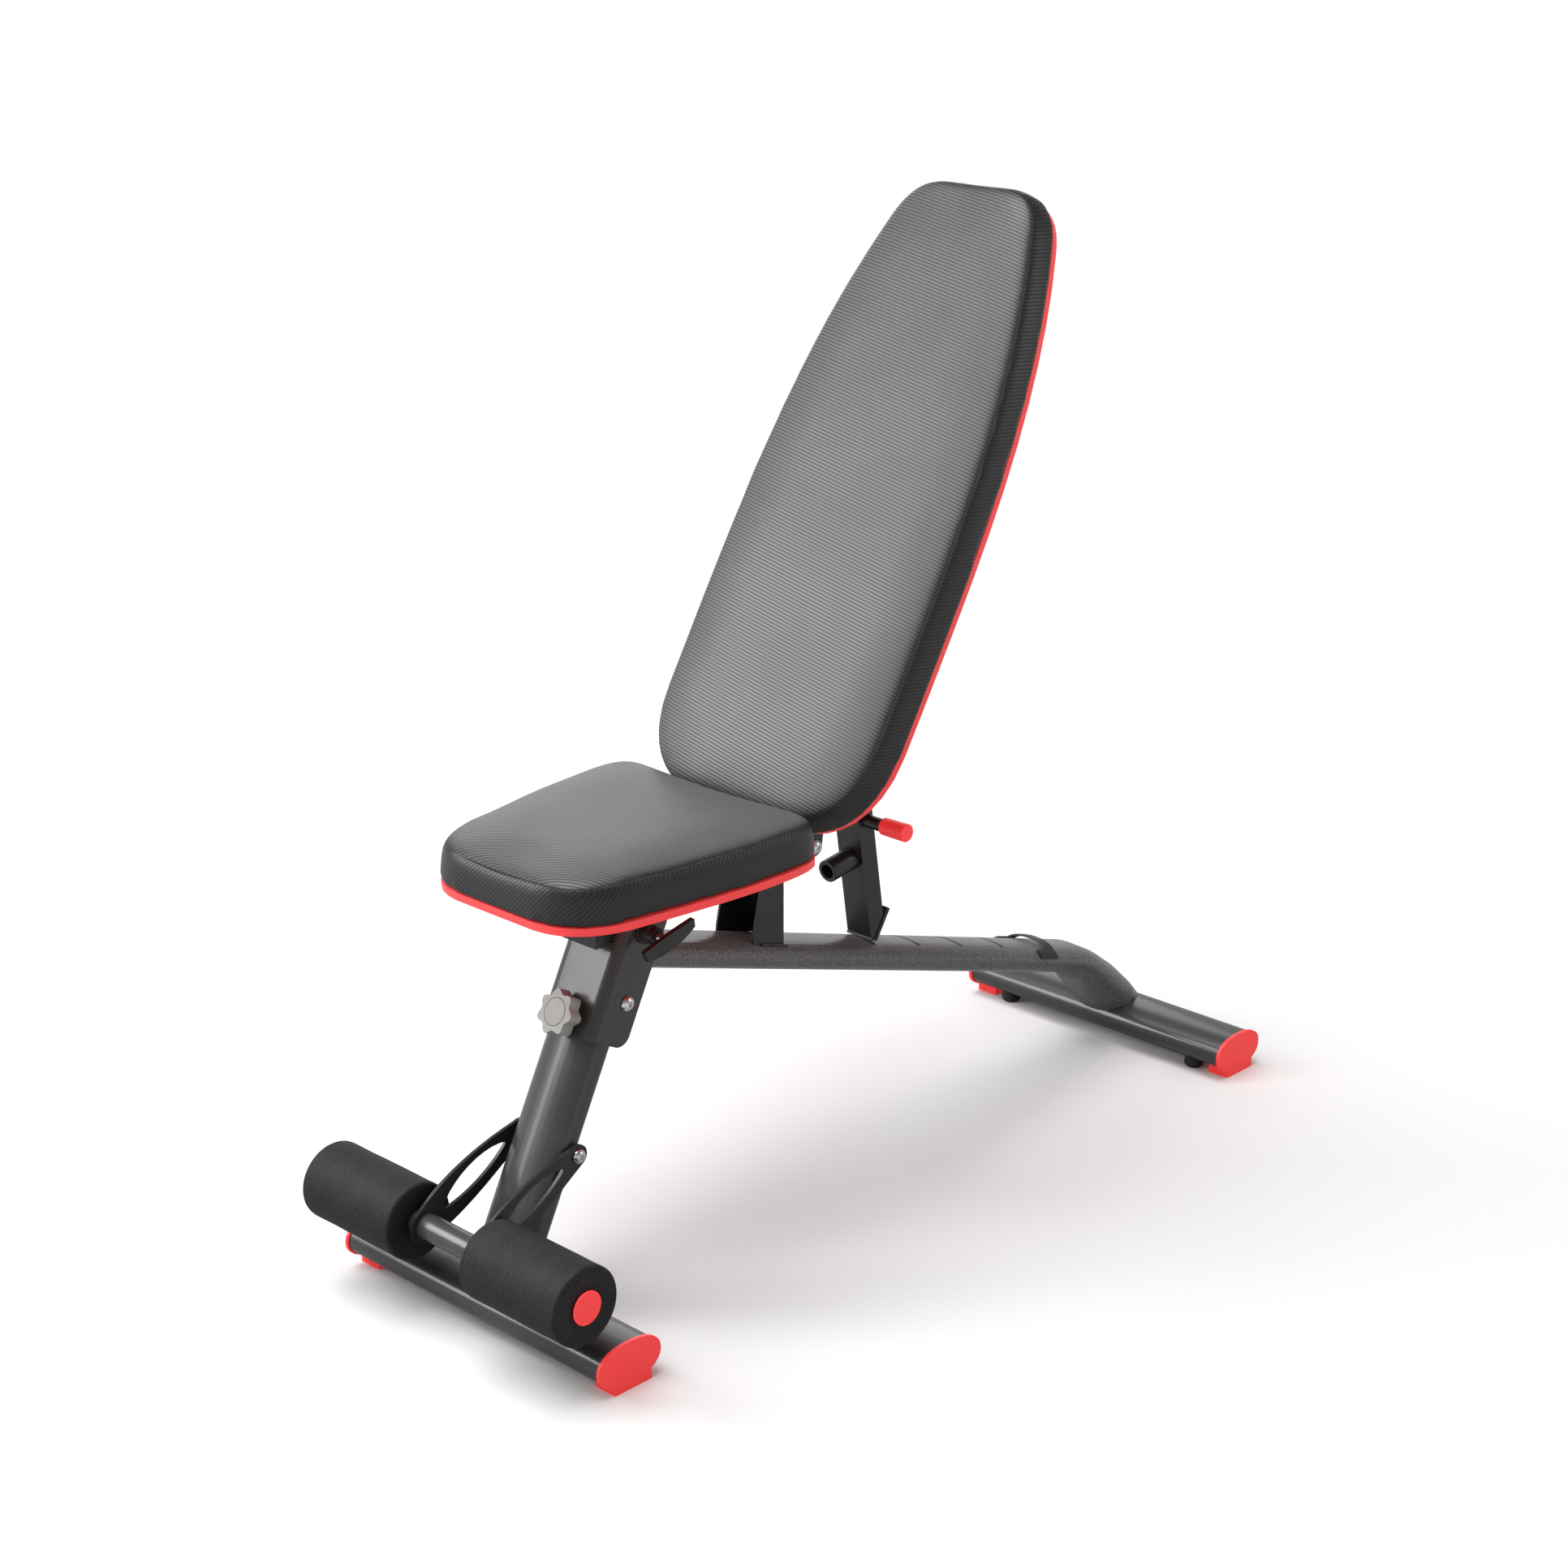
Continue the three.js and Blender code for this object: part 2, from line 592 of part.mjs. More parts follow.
// Spring sleeve with turned rings, welded to the side of the head bracket.
function pinSleeve() {
  const groove = SLEEVE_RADIUS - 1.6;
  const profile = [
    [SLEEVE_INNER_X, SLEEVE_BORE],
    [SLEEVE_INNER_X, SLEEVE_RADIUS + 1.5],
    [SLEEVE_INNER_X + 4, SLEEVE_RADIUS + 1.5],
    [SLEEVE_INNER_X + 4, groove],
    [SLEEVE_INNER_X + 7, groove],
    [SLEEVE_INNER_X + 7, SLEEVE_RADIUS],
    [SLEEVE_INNER_X + 12, SLEEVE_RADIUS],
    [SLEEVE_INNER_X + 12, groove],
    [SLEEVE_OUTER_X, groove],
    [SLEEVE_OUTER_X, PIN_RADIUS + RUNNING],
    [SLEEVE_OUTER_X - SLEEVE_LIP, PIN_RADIUS + RUNNING],
    [SLEEVE_OUTER_X - SLEEVE_LIP, SLEEVE_BORE],
    [SLEEVE_INNER_X, SLEEVE_BORE],
  ];
  return turnedX(profile).translate(0, PIN_V, PIN_U);
}

// Pin with the shoulder that the spring pushes on.
function pullPin() {
  const shoulder = SLEEVE_BORE - RUNNING;
  const profile = [
    [PIN_NOSE_X, 0],
    [PIN_NOSE_X, PIN_RADIUS - 1.2],
    [PIN_NOSE_X + 1.5, PIN_RADIUS],
    [PIN_SHOULDER_X, PIN_RADIUS],
    [PIN_SHOULDER_X, shoulder],
    [PIN_SHOULDER_X + PIN_SHOULDER_WIDTH, shoulder],
    [PIN_SHOULDER_X + PIN_SHOULDER_WIDTH, PIN_RADIUS],
    [HANDLE_X + HANDLE_THICKNESS - 2, PIN_RADIUS],
    [HANDLE_X + HANDLE_THICKNESS - 2, 0],
  ];
  return turnedX(profile).translate(0, PIN_V, PIN_U);
}

// Flat pull bar with a bowed lower edge, pushed on the end of the pin.
function pinHandle() {
  const half = 36;
  const shape = new THREE.Shape();
  shape.moveTo(-half, 8);
  shape.lineTo(-half + 2, -4);
  shape.quadraticCurveTo(0, -15, half - 1, -2);
  shape.lineTo(half, 7);
  shape.quadraticCurveTo(0, 9.5, -half, 8);
  const bar = sheetX(shape, HANDLE_X, HANDLE_X + HANDLE_THICKNESS);
  const hole = rodX(PIN_RADIUS + GAP, HANDLE_X - 1, HANDLE_X + HANDLE_THICKNESS - 2 + GAP);
  const rise = 15; // degrees above level
  return cut(bar, hole).rotateX(rad(rise + 90 - LEG_ANGLE)).translate(0, PIN_V, PIN_U);
}

// Helix of the compression spring between the shoulder and the sleeve's lip.
class Helix extends THREE.Curve {
  constructor(x0, x1, radius, coils) {
    super();
    Object.assign(this, { x0, x1, radius, coils });
  }
  getPoint(t, target = new THREE.Vector3()) {
    const angle = 2 * Math.PI * this.coils * t;
    const x = this.x0 + (this.x1 - this.x0) * t;
    return target.set(x, this.radius * Math.cos(angle), this.radius * Math.sin(angle));
  }
}

// The spring is drawn pressed together, as it is when the pin is pulled right out.
function pinSpring() {
  const wire = 0.6;
  const coils = 3;
  const section = new THREE.Shape().absarc(0, 0, wire, 0, 2 * Math.PI, false);
  const start = PIN_SHOULDER_X + PIN_SHOULDER_WIDTH + PIN_TRAVEL + wire + GAP;
  const path = new Helix(start, SLEEVE_OUTER_X - SLEEVE_LIP - wire - GAP, 6.9, coils);
  const options = { steps: coils * 14, extrudePath: path, curveSegments: 3, bevelEnabled: false };
  return new THREE.ExtrudeGeometry(section, options).translate(0, PIN_V, PIN_U);
}

add(headGroup, "pin_sleeve", pinSleeve(), blackPaint);
add(headGroup, "pull_pin", pullPin(), chrome);
add(headGroup, "pin_handle", pinHandle(), blackPaint);
add(headGroup, "pin_spring", pinSpring(), chrome);

// ---------------------------------------------------------------- main beam

const beamSlope = rad(BEAM_ANGLE);
const beamY = (along, rise) => BEAM_AXIS_Y + along * Math.cos(beamSlope) + rise * Math.sin(beamSlope);
const beamZ = (along, rise) => BEAM_AXIS_Z - along * Math.sin(beamSlope) + rise * Math.cos(beamSlope);

const BEND_START = 292; // along the beam, from its axis point
const SLOT_ZERO = -84; // the slot that the strut stands in, along the beam

// Ring of the tube through a bottom point and a top point of the Y-Z plane.
function beamRing(bottom, top, halfX, inset = 0) {
  const middle = bottom.clone().add(top).multiplyScalar(0.5);
  const up = top.clone().sub(middle);
  const reach = up.length();
  const half = reach - inset;
  up.multiplyScalar(1 / reach);
  return oval(halfX - inset, half).map((p) => vec(p.x, middle.y + up.y * p.y, middle.z + up.z * p.y));
}

// Bottom and top of each section: a straight stretch, then a bend that deepens towards the rear bar.
function beamStations(extra) {
  const straight = (along) => [
    vec(0, beamY(along, -BEAM_HALF_DEPTH), beamZ(along, -BEAM_HALF_DEPTH)),
    vec(0, beamY(along, BEAM_HALF_DEPTH), beamZ(along, BEAM_HALF_DEPTH)),
  ];
  const tail = (bottomY, bottomZ, topY, topZ) => [
    vec(0, REAR_BAR_Y + bottomY, bottomZ),
    vec(0, REAR_BAR_Y + topY, topZ),
  ];
  return [
    straight(-500),
    straight(BEND_START),
    tail(-95, 105, -90, 144.5),
    tail(-81, 87, -60, 128),
    tail(-62, 64, -25.5, 103),
    tail(-40, 42, 8, 73),
    tail(-20 + extra, 10 - extra, 46 + extra, 31 - extra),
  ];
}

function beamSolid(inset, extra) {
  return loft(beamStations(extra).map(([bottom, top]) => beamRing(bottom, top, BEAM_HALF_X, inset)));
}

function strutSlot(index) {
  const along = SLOT_ZERO + index * SLOT_PITCH;
  const slot = box(-SLOT_HALF_X, SLOT_HALF_X, -SLOT_HALF_WIDTH, SLOT_HALF_WIDTH, 0, 40);
  return slot.rotateX(-beamSlope).translate(0, beamY(along, 0), beamZ(along, 0));
}

function mainBeam() {
  const hollow = cut(beamSolid(0, 0), beamSolid(WALL, 15));
  const frontWaste = box(-80, 80, -400, HEAD_REAR_V + GAP, 0, 800).applyMatrix4(headGroup.matrixWorld);
  const bar = barSolid(GAP, -100, 100).translate(0, REAR_BAR_Y, BAR_Z);
  const below = box(-100, 100, 900, 1300, -100, BAR_Z);
  const slots = Array.from({ length: SLOT_COUNT }, (_, i) => strutSlot(i));
  return cut(hollow, frontWaste, bar, below, ...slots);
}

add(bench, "main_beam", mainBeam(), speckledPaint);

// Straight oval, a little larger than the beam, that the pieces standing on it are cut by.
function beamClearance() {
  const shape = new THREE.Shape(oval(BEAM_HALF_X + GAP, BEAM_HALF_DEPTH + GAP));
  const straight = sheetY(shape, -600, BEND_START);
  return straight.rotateX(-beamSlope).translate(0, BEAM_AXIS_Y, BEAM_AXIS_Z);
}

// ---------------------------------------------------------------- strut loop on the beam

const LOOP_ALONG = 241; // middle of the strap, along the beam
const LOOP_WIDTH = 14;
const LOOP_HALF_X = 38;
const LOOP_RISE = 6.5; // outer face above the crown of the beam
const STRAP_THICKNESS = 2.5;
const TAB_LENGTH = 34;
const TAB_THICKNESS = 2.8;
const TAB_LOWER_EDGE = 6.5; // above the beam's axis
const TAB_INNER_X = 31;
const LOOP_SIDES = 36;

// Flat strap arched over the beam, with a tab at each end that lies on the beam's shoulder.
function strutLoop() {
  const crown = BEAM_HALF_DEPTH + LOOP_RISE;
  const arch = new THREE.Shape(oval(LOOP_HALF_X, crown, LOOP_SIDES));
  const opening = oval(LOOP_HALF_X - STRAP_THICKNESS, crown - STRAP_THICKNESS, LOOP_SIDES);
  arch.holes.push(new THREE.Path(opening));
  const strap = sheetY(arch, LOOP_ALONG - LOOP_WIDTH / 2, LOOP_ALONG + LOOP_WIDTH / 2);
  const skinOutline = oval(BEAM_HALF_X + TAB_THICKNESS, BEAM_HALF_DEPTH + TAB_THICKNESS, LOOP_SIDES);
  const skin = new THREE.Shape(skinOutline);
  skin.holes.push(new THREE.Path(oval(BEAM_HALF_X + GAP, BEAM_HALF_DEPTH + GAP)));
  const tabStart = LOOP_ALONG + LOOP_WIDTH / 2 - TAB_LENGTH;
  const tabs = cut(
    sheetY(skin, tabStart, tabStart + TAB_LENGTH),
    box(-60, 60, 0, 500, -60, TAB_LOWER_EDGE),
    box(-TAB_INNER_X, TAB_INNER_X, 0, 500, -60, 60),
  );
  const beam = sheetY(new THREE.Shape(oval(BEAM_HALF_X + GAP, BEAM_HALF_DEPTH + GAP)), 100, 400);
  const below = box(-60, 60, 0, 500, -60, TAB_LOWER_EDGE);
  return cut(join(strap, tabs), below, beam).rotateX(-beamSlope).translate(0, BEAM_AXIS_Y, BEAM_AXIS_Z);
}

add(bench, "strut_loop", strutLoop(), blackPaint);

// ---------------------------------------------------------------- seat post and hinge bracket

const POST_OUTER_X = 29;
const POST_SHEET = 3;
const POST_REAR_Y = 419;
const POST_FRONT_Y = 371;
const POST_WEB_TOP_Z = 372;
const POST_EAR = 14; // radius of the rounded top round the seat pivot
const FLANGE_ALONG = -262; // middle of the post's foot, along the beam

const BEAM_TOP_AT_POST = 318;

function seatPost() {
  const side = new THREE.Shape();
  side.moveTo(POST_FRONT_Y, BEAM_TOP_AT_POST - 15);
  side.lineTo(POST_REAR_Y, BEAM_TOP_AT_POST - 15);
  side.lineTo(POST_REAR_Y, SEAT_PIVOT_Z);
  side.absarc(SEAT_PIVOT_Y + 2, SEAT_PIVOT_Z, POST_EAR, 0, Math.PI, false);
  side.lineTo(POST_FRONT_Y + 1, 330);
  const block = sheetX(side, -POST_OUTER_X, POST_OUTER_X);
  const inside = POST_OUTER_X - POST_SHEET;
  const hollow = box(-inside, inside, POST_FRONT_Y - 10, POST_REAR_Y - POST_SHEET, 200, 500);
  const aboveWeb = box(-inside, inside, POST_FRONT_Y - 10, POST_REAR_Y + 10, POST_WEB_TOP_Z, 500);
  const flange = box(-POST_OUTER_X - 2.5, POST_OUTER_X + 2.5, -22, 20.5, 6, 15.5);
  flange.rotateX(-beamSlope).translate(0, beamY(FLANGE_ALONG, 0), beamZ(FLANGE_ALONG, 0));
  return cut(
    join(block, flange),
    hollow,
    aboveWeb,
    beamClearance(),
    rodX(BOLT_RADIUS + GAP, -60, 60, SEAT_PIVOT_Y, SEAT_PIVOT_Z),
  );
}

const tiltSin = Math.sin(backTilt);
const tiltCos = Math.cos(backTilt);
const BACK_PIVOT_Y = BACK_ORIGIN_Y + BACK_PIVOT_S * tiltSin + BACK_PIVOT_DEPTH * tiltCos;
const BACK_PIVOT_Z = BACK_ORIGIN_Z + BACK_PIVOT_S * tiltCos - BACK_PIVOT_DEPTH * tiltSin;
const HINGE_INNER_X = POST_OUTER_X + GAP;
const HINGE_OUTER_X = HINGE_INNER_X + 4;
const HINGE_EAR = 11;
const CROSS_PLATE_FRONT_Y = 423;
const CROSS_PLATE_REAR_Y = 427;

// Pair of arms from the top of the post back to the backrest pivot, joined by a cross plate.
function hingeBracket() {
  const arm = link(SEAT_PIVOT_Y, SEAT_PIVOT_Z, POST_EAR, BACK_PIVOT_Y, BACK_PIVOT_Z, HINGE_EAR);
  const block = sheetX(arm, -HINGE_OUTER_X, HINGE_OUTER_X);
  const inside = box(-HINGE_INNER_X, HINGE_INNER_X, 300, CROSS_PLATE_FRONT_Y, 300, 500);
  const behind = box(-HINGE_INNER_X, HINGE_INNER_X, CROSS_PLATE_REAR_Y, 600, 300, 500);
  return cut(
    block,
    inside,
    behind,
    rodX(BOLT_RADIUS + GAP, -60, 60, SEAT_PIVOT_Y, SEAT_PIVOT_Z),
    rodX(BOLT_RADIUS + GAP, -60, 60, BACK_PIVOT_Y, BACK_PIVOT_Z),
  );
}

const FRAME_INNER_X = HINGE_OUTER_X + 0.7;
const FRAME_OUTER_X = FRAME_INNER_X + SHEET;

add(bench, "seat_post", seatPost(), blackPaint);
add(bench, "hinge_bracket", hingeBracket(), blackPaint);
addBoltPair(bench, "seat_pivot", SEAT_PIVOT_Y, SEAT_PIVOT_Z, HINGE_OUTER_X + GAP);
addBoltPair(bench, "back_pivot", BACK_PIVOT_Y, BACK_PIVOT_Z, FRAME_OUTER_X + GAP + 0.2);

// ---------------------------------------------------------------- roller frame and foam rollers

const PLATE_INNER_X = 43;
const PLATE_OUTER_X = 47;
const PLUG_HEAD = 2.2;
const PLATE_END = 12; // radius of the plate round its bolt
const SPACER_RADIUS = 9;

// Crescent plate from the bolt, at the origin of its outline, down to the axle along +y.
function rollerPlate(x0, x1) {
  const boltAt = vec(0, ROLLER_BOLT_V, ROLLER_BOLT_U).applyMatrix4(headGroup.matrixWorld);
  const reach = Math.hypot(ROLLER_Y - boltAt.y, ROLLER_Z - boltAt.z);
  const shape = new THREE.Shape();
  shape.moveTo(0, -PLATE_END);
  shape.bezierCurveTo(40, -17, 90, -25, reach - 10, -19.5);
  shape.absarc(reach, 0, 20, -0.6 * Math.PI, 0.5 * Math.PI, false);
  shape.bezierCurveTo(105, 31, 55, 27, 0, PLATE_END);
  shape.absarc(0, 0, PLATE_END, 0.5 * Math.PI, 1.5 * Math.PI, false);
  const window = new THREE.Path();
  window.moveTo(20, 2);
  window.bezierCurveTo(45, 22, 95, 22, reach - 22, 0);
  window.bezierCurveTo(95, -11, 50, -11, 20, 2);
  shape.holes.push(window);
  const plate = cut(
    sheetX(shape, x0, x1, 10),
    rodX(ROLLER_BOLT_RADIUS + RUNNING, x0 - 1, x1 + 1),
    rodX(AXLE_RADIUS + GAP, x0 - 1, x1 + 1, reach, 0),
  );
  // The outline's y runs from the bolt to the axle and its z to the upper side of the crescent.
  const along = vec(0, ROLLER_Y - boltAt.y, ROLLER_Z - boltAt.z).divideScalar(reach);
  const upper = vec(0, along.z, -along.y);
  const turn = new THREE.Matrix4().makeBasis(vec(-1, 0, 0), along, upper).setPosition(boltAt);
  return plate.applyMatrix4(turn);
}

function rollerAxle() {
  const half = BENCH_WIDTH / 2 - PLUG_HEAD - GAP;
  return cut(rodX(AXLE_RADIUS, -half, half), rodX(AXLE_RADIUS - 2, -half - 1, half + 1)).translate(
    0,
    ROLLER_Y,
    ROLLER_Z,
  );
}

// Red plug pressed in the end of the axle, whose head keeps the foam on.
function axlePlug(side) {
  const outer = BENCH_WIDTH / 2;
  const profile = [
    [outer - 16, 0],
    [outer - 16, AXLE_RADIUS - 2 - GAP],
    [outer - PLUG_HEAD, AXLE_RADIUS - 2 - GAP],
    [outer - PLUG_HEAD, 18],
    [outer - 0.6, 18],
    [outer, 17.2],
    [outer, 0],
  ];
  const plug = turnedX(profile).translate(0, ROLLER_Y, ROLLER_Z);
  return side > 0 ? plug : mirrored(plug);
}

function foamRoller(side) {
  const inner = ROLLER_INNER_X;
  const outer = BENCH_WIDTH / 2 - PLUG_HEAD - GAP - 0.2;
  const bore = AXLE_RADIUS + 0.5;
  const profile = [
    [inner, bore],
    [inner, ROLLER_RADIUS - 6],
    [inner + 2, ROLLER_RADIUS - 2],
    [inner + 6, ROLLER_RADIUS],
    [outer - 6, ROLLER_RADIUS],
    [outer - 2, ROLLER_RADIUS - 2],
    [outer, ROLLER_RADIUS - 6],
    [outer, bore],
    [inner, bore],
  ];
  const foam = turnedX(profile, 32).translate(0, ROLLER_Y, ROLLER_Z);
  return side > 0 ? foam : mirrored(foam);
}

function rollerSpacer(x0, x1) {
  return cut(
    rodX(SPACER_RADIUS, x0, x1, ROLLER_BOLT_V, ROLLER_BOLT_U),
    rodX(ROLLER_BOLT_RADIUS + GAP, x0 - 1, x1 + 1, ROLLER_BOLT_V, ROLLER_BOLT_U),
  );
}

const SPACER_X = [LEG_HALF_X + GAP, PLATE_INNER_X - 0.4];
add(headGroup, "roller_spacer_left", rollerSpacer(SPACER_X[0], SPACER_X[1]), blackPaint);
add(headGroup, "roller_spacer_right", rollerSpacer(-SPACER_X[1], -SPACER_X[0]), blackPaint);
addBoltPair(
  headGroup,
  "roller_pivot",
  ROLLER_BOLT_V,
  ROLLER_BOLT_U,
  PLATE_OUTER_X + 0.5,
  ROLLER_BOLT_RADIUS,
  ROLLER_BOLT_HEAD_RADIUS,
);
add(bench, "roller_plate_left", rollerPlate(-PLATE_OUTER_X, -PLATE_INNER_X), blackPaint);
add(bench, "roller_plate_right", rollerPlate(PLATE_INNER_X, PLATE_OUTER_X), blackPaint);
add(bench, "roller_axle", rollerAxle(), charcoalPaint);
add(bench, "axle_plug_left", axlePlug(1), redPlastic);
add(bench, "axle_plug_right", axlePlug(-1), redPlastic);
add(bench, "foam_roller_left", foamRoller(1), foamRubber);
add(bench, "foam_roller_right", foamRoller(-1), foamRubber);

// ---------------------------------------------------------------- pads

// Closed outline from the right half of a pad, given as a path that starts and ends on x = 0.
function symmetric(half, divisions) {
  const right = half.getPoints(divisions).filter((p) => p.x > 0.01);
  const left = right.map((p) => new THREE.Vector2(-p.x, p.y)).reverse();
  return new THREE.Shape([...right, ...left]);
}

// Right half of the seat outline; y runs from the front edge to the rear.
function seatOutline(inset = 0) {
  const half = new THREE.Path();
  half.moveTo(0, inset);
  half.lineTo(58, inset);
  half.bezierCurveTo(96 - inset, 2 + inset, 120 - inset, 28 + inset, 129 - inset, 66);
  half.bezierCurveTo(135 - inset, 104, 153 - inset, 190, 153.5 - inset, 262);
  half.bezierCurveTo(153.5 - inset, 300 - inset, 146 - inset, SEAT_LENGTH - inset, 120, SEAT_LENGTH - inset);
  half.lineTo(0, SEAT_LENGTH - inset);
  return symmetric(half, 7);
}

// Right half of the back outline; y runs from the lower end to the top.
function backOutline(inset = 0) {
  const top = BACK_LENGTH - inset;
  const half = new THREE.Path();
  const bottom = BACK_START + inset;
  half.moveTo(0, bottom);
  half.lineTo(62, bottom);
  half.bezierCurveTo(115 - inset, bottom, 160 - inset, 58, 161.5 - inset, 128);
  half.bezierCurveTo(162.3 - inset, 190, 162.5 - inset, 260, 161.5 - inset, 330);
  half.bezierCurveTo(159 - inset, 470, 144 - inset, 590, 107 - inset, 698);
  half.bezierCurveTo(98 - inset, 725, 80 - inset, top, 45, top);
  half.lineTo(0, top);
  return symmetric(half, 8);
}

const PAD_EDGE = 12; // rounding of the top edge

// Pad body of an outline: upright sides, then two smaller steps that round the top edge.
function padBody(outline, thickness) {
  const options = {
    depth: thickness,
    bevelEnabled: true,
    bevelThickness: PAD_EDGE,
    bevelSize: PAD_EDGE,
    bevelOffset: -PAD_EDGE,
    bevelSegments: 2,
  };
  const rounded = new THREE.ExtrudeGeometry(outline, options).translate(0, 0, -PAD_EDGE);
  return cut(rounded, box(-500, 500, -100, 1000, -100, 0));
}

const seatFlat = SEAT_UNDERSIDE + BASE_THICKNESS + GAP;
const SEAT_SCREWS = { seat_screw_front: -235, seat_screw_rear: -110 };
const BACK_SCREWS = { back_screw_lower: 90, back_screw_upper: 270 };

function seatBase() {
  const base = sheetZ(seatOutline(), 0, BASE_THICKNESS).translate(0, SEAT_FRONT, SEAT_UNDERSIDE);
  const holes = Object.values(SEAT_SCREWS).map((y) =>
    rodZ(SCREW_RADIUS + GAP, SEAT_UNDERSIDE - 1, SEAT_UNDERSIDE + BASE_THICKNESS - 1, 0, y, 16),
  );
  return cut(base, ...holes);
}

function seatCushion() {
  return padBody(seatOutline(1.5), SEAT_PAD_THICKNESS - GAP).translate(0, SEAT_FRONT, seatFlat);
}

// Pieces of the back are built lying flat, facing up, and turned to face the sitter.
function standUp(geometry) {
  const turn = new THREE.Matrix4().makeBasis(vec(-1, 0, 0), vec(0, 0, 1), vec(0, 1, 0));
  return geometry.applyMatrix4(turn).rotateZ(Math.PI);
}

function backBase() {
  const base = standUp(sheetZ(backOutline(), 0, BASE_THICKNESS));
  const holes = Object.values(BACK_SCREWS).map((s) =>
    rodY(SCREW_RADIUS + GAP, -BASE_THICKNESS + 1, 1, 0, s, 16),
  );
  return cut(base, ...holes);
}

function backCushion() {
  return standUp(padBody(backOutline(1.5), BACK_PAD_THICKNESS - GAP)).translate(0, -BASE_THICKNESS - GAP, 0);
}

add(seatGroup, "seat_base", seatBase(), redVinyl);
add(seatGroup, "seat_cushion", seatCushion(), twillVinyl);
add(backGroup, "back_base", backBase(), redVinyl);
add(backGroup, "back_cushion", backCushion(), twillVinyl);

// ---------------------------------------------------------------- seat rail

const RAIL_HALF_X = 25.5;
const RAIL_SHEET = 3;
const RAIL_FRONT = -257;
const RAIL_TOP = SEAT_UNDERSIDE - GAP;
const RAIL_FRONT_DEPTH = -27; // lower front corner, below the seat pivot
const RAIL_WAIST_Y = -60; // behind this the rail is only its two ears
const RAIL_EAR = 13; // radius of the ears round the seat pivot
const SEAT_TILT_RANGE = 7; // degrees that the seat rises

// Where the pull pin meets the rail with the seat raised by an angle.
function pinHoleInRail(degrees) {
  const pin = seenPoint(seatGroup, headGroup, vec(0, PIN_V, PIN_U));
  return pin.applyAxisAngle(vec(1, 0, 0), rad(degrees));
}

function seenPoint(group, from, point) {
  return point.clone().applyMatrix4(from.matrixWorld).applyMatrix4(group.matrixWorld.clone().invert());
}

// Inverted channel under the seat, deep at the front, with ears on the seat pivot.
function seatRail() {
  const highest = pinHoleInRail(0);
  const lowest = pinHoleInRail(SEAT_TILT_RANGE);
  const side = new THREE.Shape();
  side.moveTo(RAIL_FRONT, RAIL_TOP);
  side.lineTo(RAIL_FRONT, RAIL_FRONT_DEPTH);
  side.lineTo(RAIL_WAIST_Y, RAIL_FRONT_DEPTH + 24);
  side.absarc(0, 0, RAIL_EAR, 1.35 * Math.PI, 2 * Math.PI, false);
  side.absarc(0, 0, RAIL_EAR, 0, 0.5 * Math.PI, false);
  side.lineTo(RAIL_WAIST_Y, RAIL_TOP);
  const lug = link(highest.y, highest.z + 12, 8, lowest.y, lowest.z, 6.5);
  const block = sheetX(side, -RAIL_HALF_X, RAIL_HALF_X);
  const lugs = sheetX(lug, -RAIL_HALF_X, RAIL_HALF_X);
  const inside = RAIL_HALF_X - RAIL_SHEET;
  const hollow = box(-inside, inside, RAIL_FRONT + RAIL_SHEET, 50, -100, RAIL_TOP - RAIL_SHEET);
  const behindTop = box(-inside, inside, RAIL_WAIST_Y, 50, -100, 100);
  const pinHoles = [0, SEAT_TILT_RANGE / 2, SEAT_TILT_RANGE].map((degrees) => {
    const hole = pinHoleInRail(degrees);
    return rodX(PIN_RADIUS + 0.5, -60, 60, hole.y, hole.z, 16);
  });
  const screwHoles = Object.values(SEAT_SCREWS).map((y) =>
    rodZ(SCREW_RADIUS + GAP, RAIL_TOP - 10, RAIL_TOP + 1, 0, y, 16),
  );
  return cut(
    join(block, lugs),
    hollow,
    behindTop,
    rodX(BOLT_RADIUS + RUNNING, -60, 60),
    ...pinHoles,
    ...screwHoles,
  );
}

add(seatGroup, "seat_rail", seatRail(), blackPaint);
for (const [name, y] of Object.entries(SEAT_SCREWS)) {
  const screw = screwUp(RAIL_SHEET + BASE_THICKNESS - 2);
  add(seatGroup, name, screw.translate(0, y, RAIL_TOP - RAIL_SHEET - GAP), chrome);
}

// ---------------------------------------------------------------- back frame

const FRAME_TOP_S = 300;
const FRAME_BOTTOM_S = 24;
const FRAME_DEPTH = 44;

// Channel behind the back base, whose side plates reach out to the backrest pivot.
function backFrame() {
  const side = new THREE.Shape();
  side.moveTo(GAP, FRAME_BOTTOM_S);
  side.lineTo(GAP, FRAME_TOP_S);
  side.lineTo(16, FRAME_TOP_S);
  side.lineTo(FRAME_DEPTH + 2, STRUT_PIVOT_S + 26);
  side.lineTo(FRAME_DEPTH, 92);
  side.absarc(BACK_PIVOT_DEPTH, BACK_PIVOT_S, HINGE_EAR, rad(25), rad(-110), true);
  const block = sheetX(side, -FRAME_OUTER_X, FRAME_OUTER_X);
  const hollow = box(-FRAME_INNER_X, FRAME_INNER_X, GAP + SHEET, 200, -50, FRAME_TOP_S + 10);
  const screwHoles = Object.values(BACK_SCREWS).map((s) => rodY(SCREW_RADIUS + GAP, -1, 10, 0, s, 16));
  return cut(
    block,
    hollow,
    rodX(BOLT_RADIUS + RUNNING, -60, 60, BACK_PIVOT_DEPTH, BACK_PIVOT_S),
    rodX(ROLLER_BOLT_RADIUS + GAP, -60, 60, STRUT_PIVOT_DEPTH, STRUT_PIVOT_S),
    ...screwHoles,
  );
}

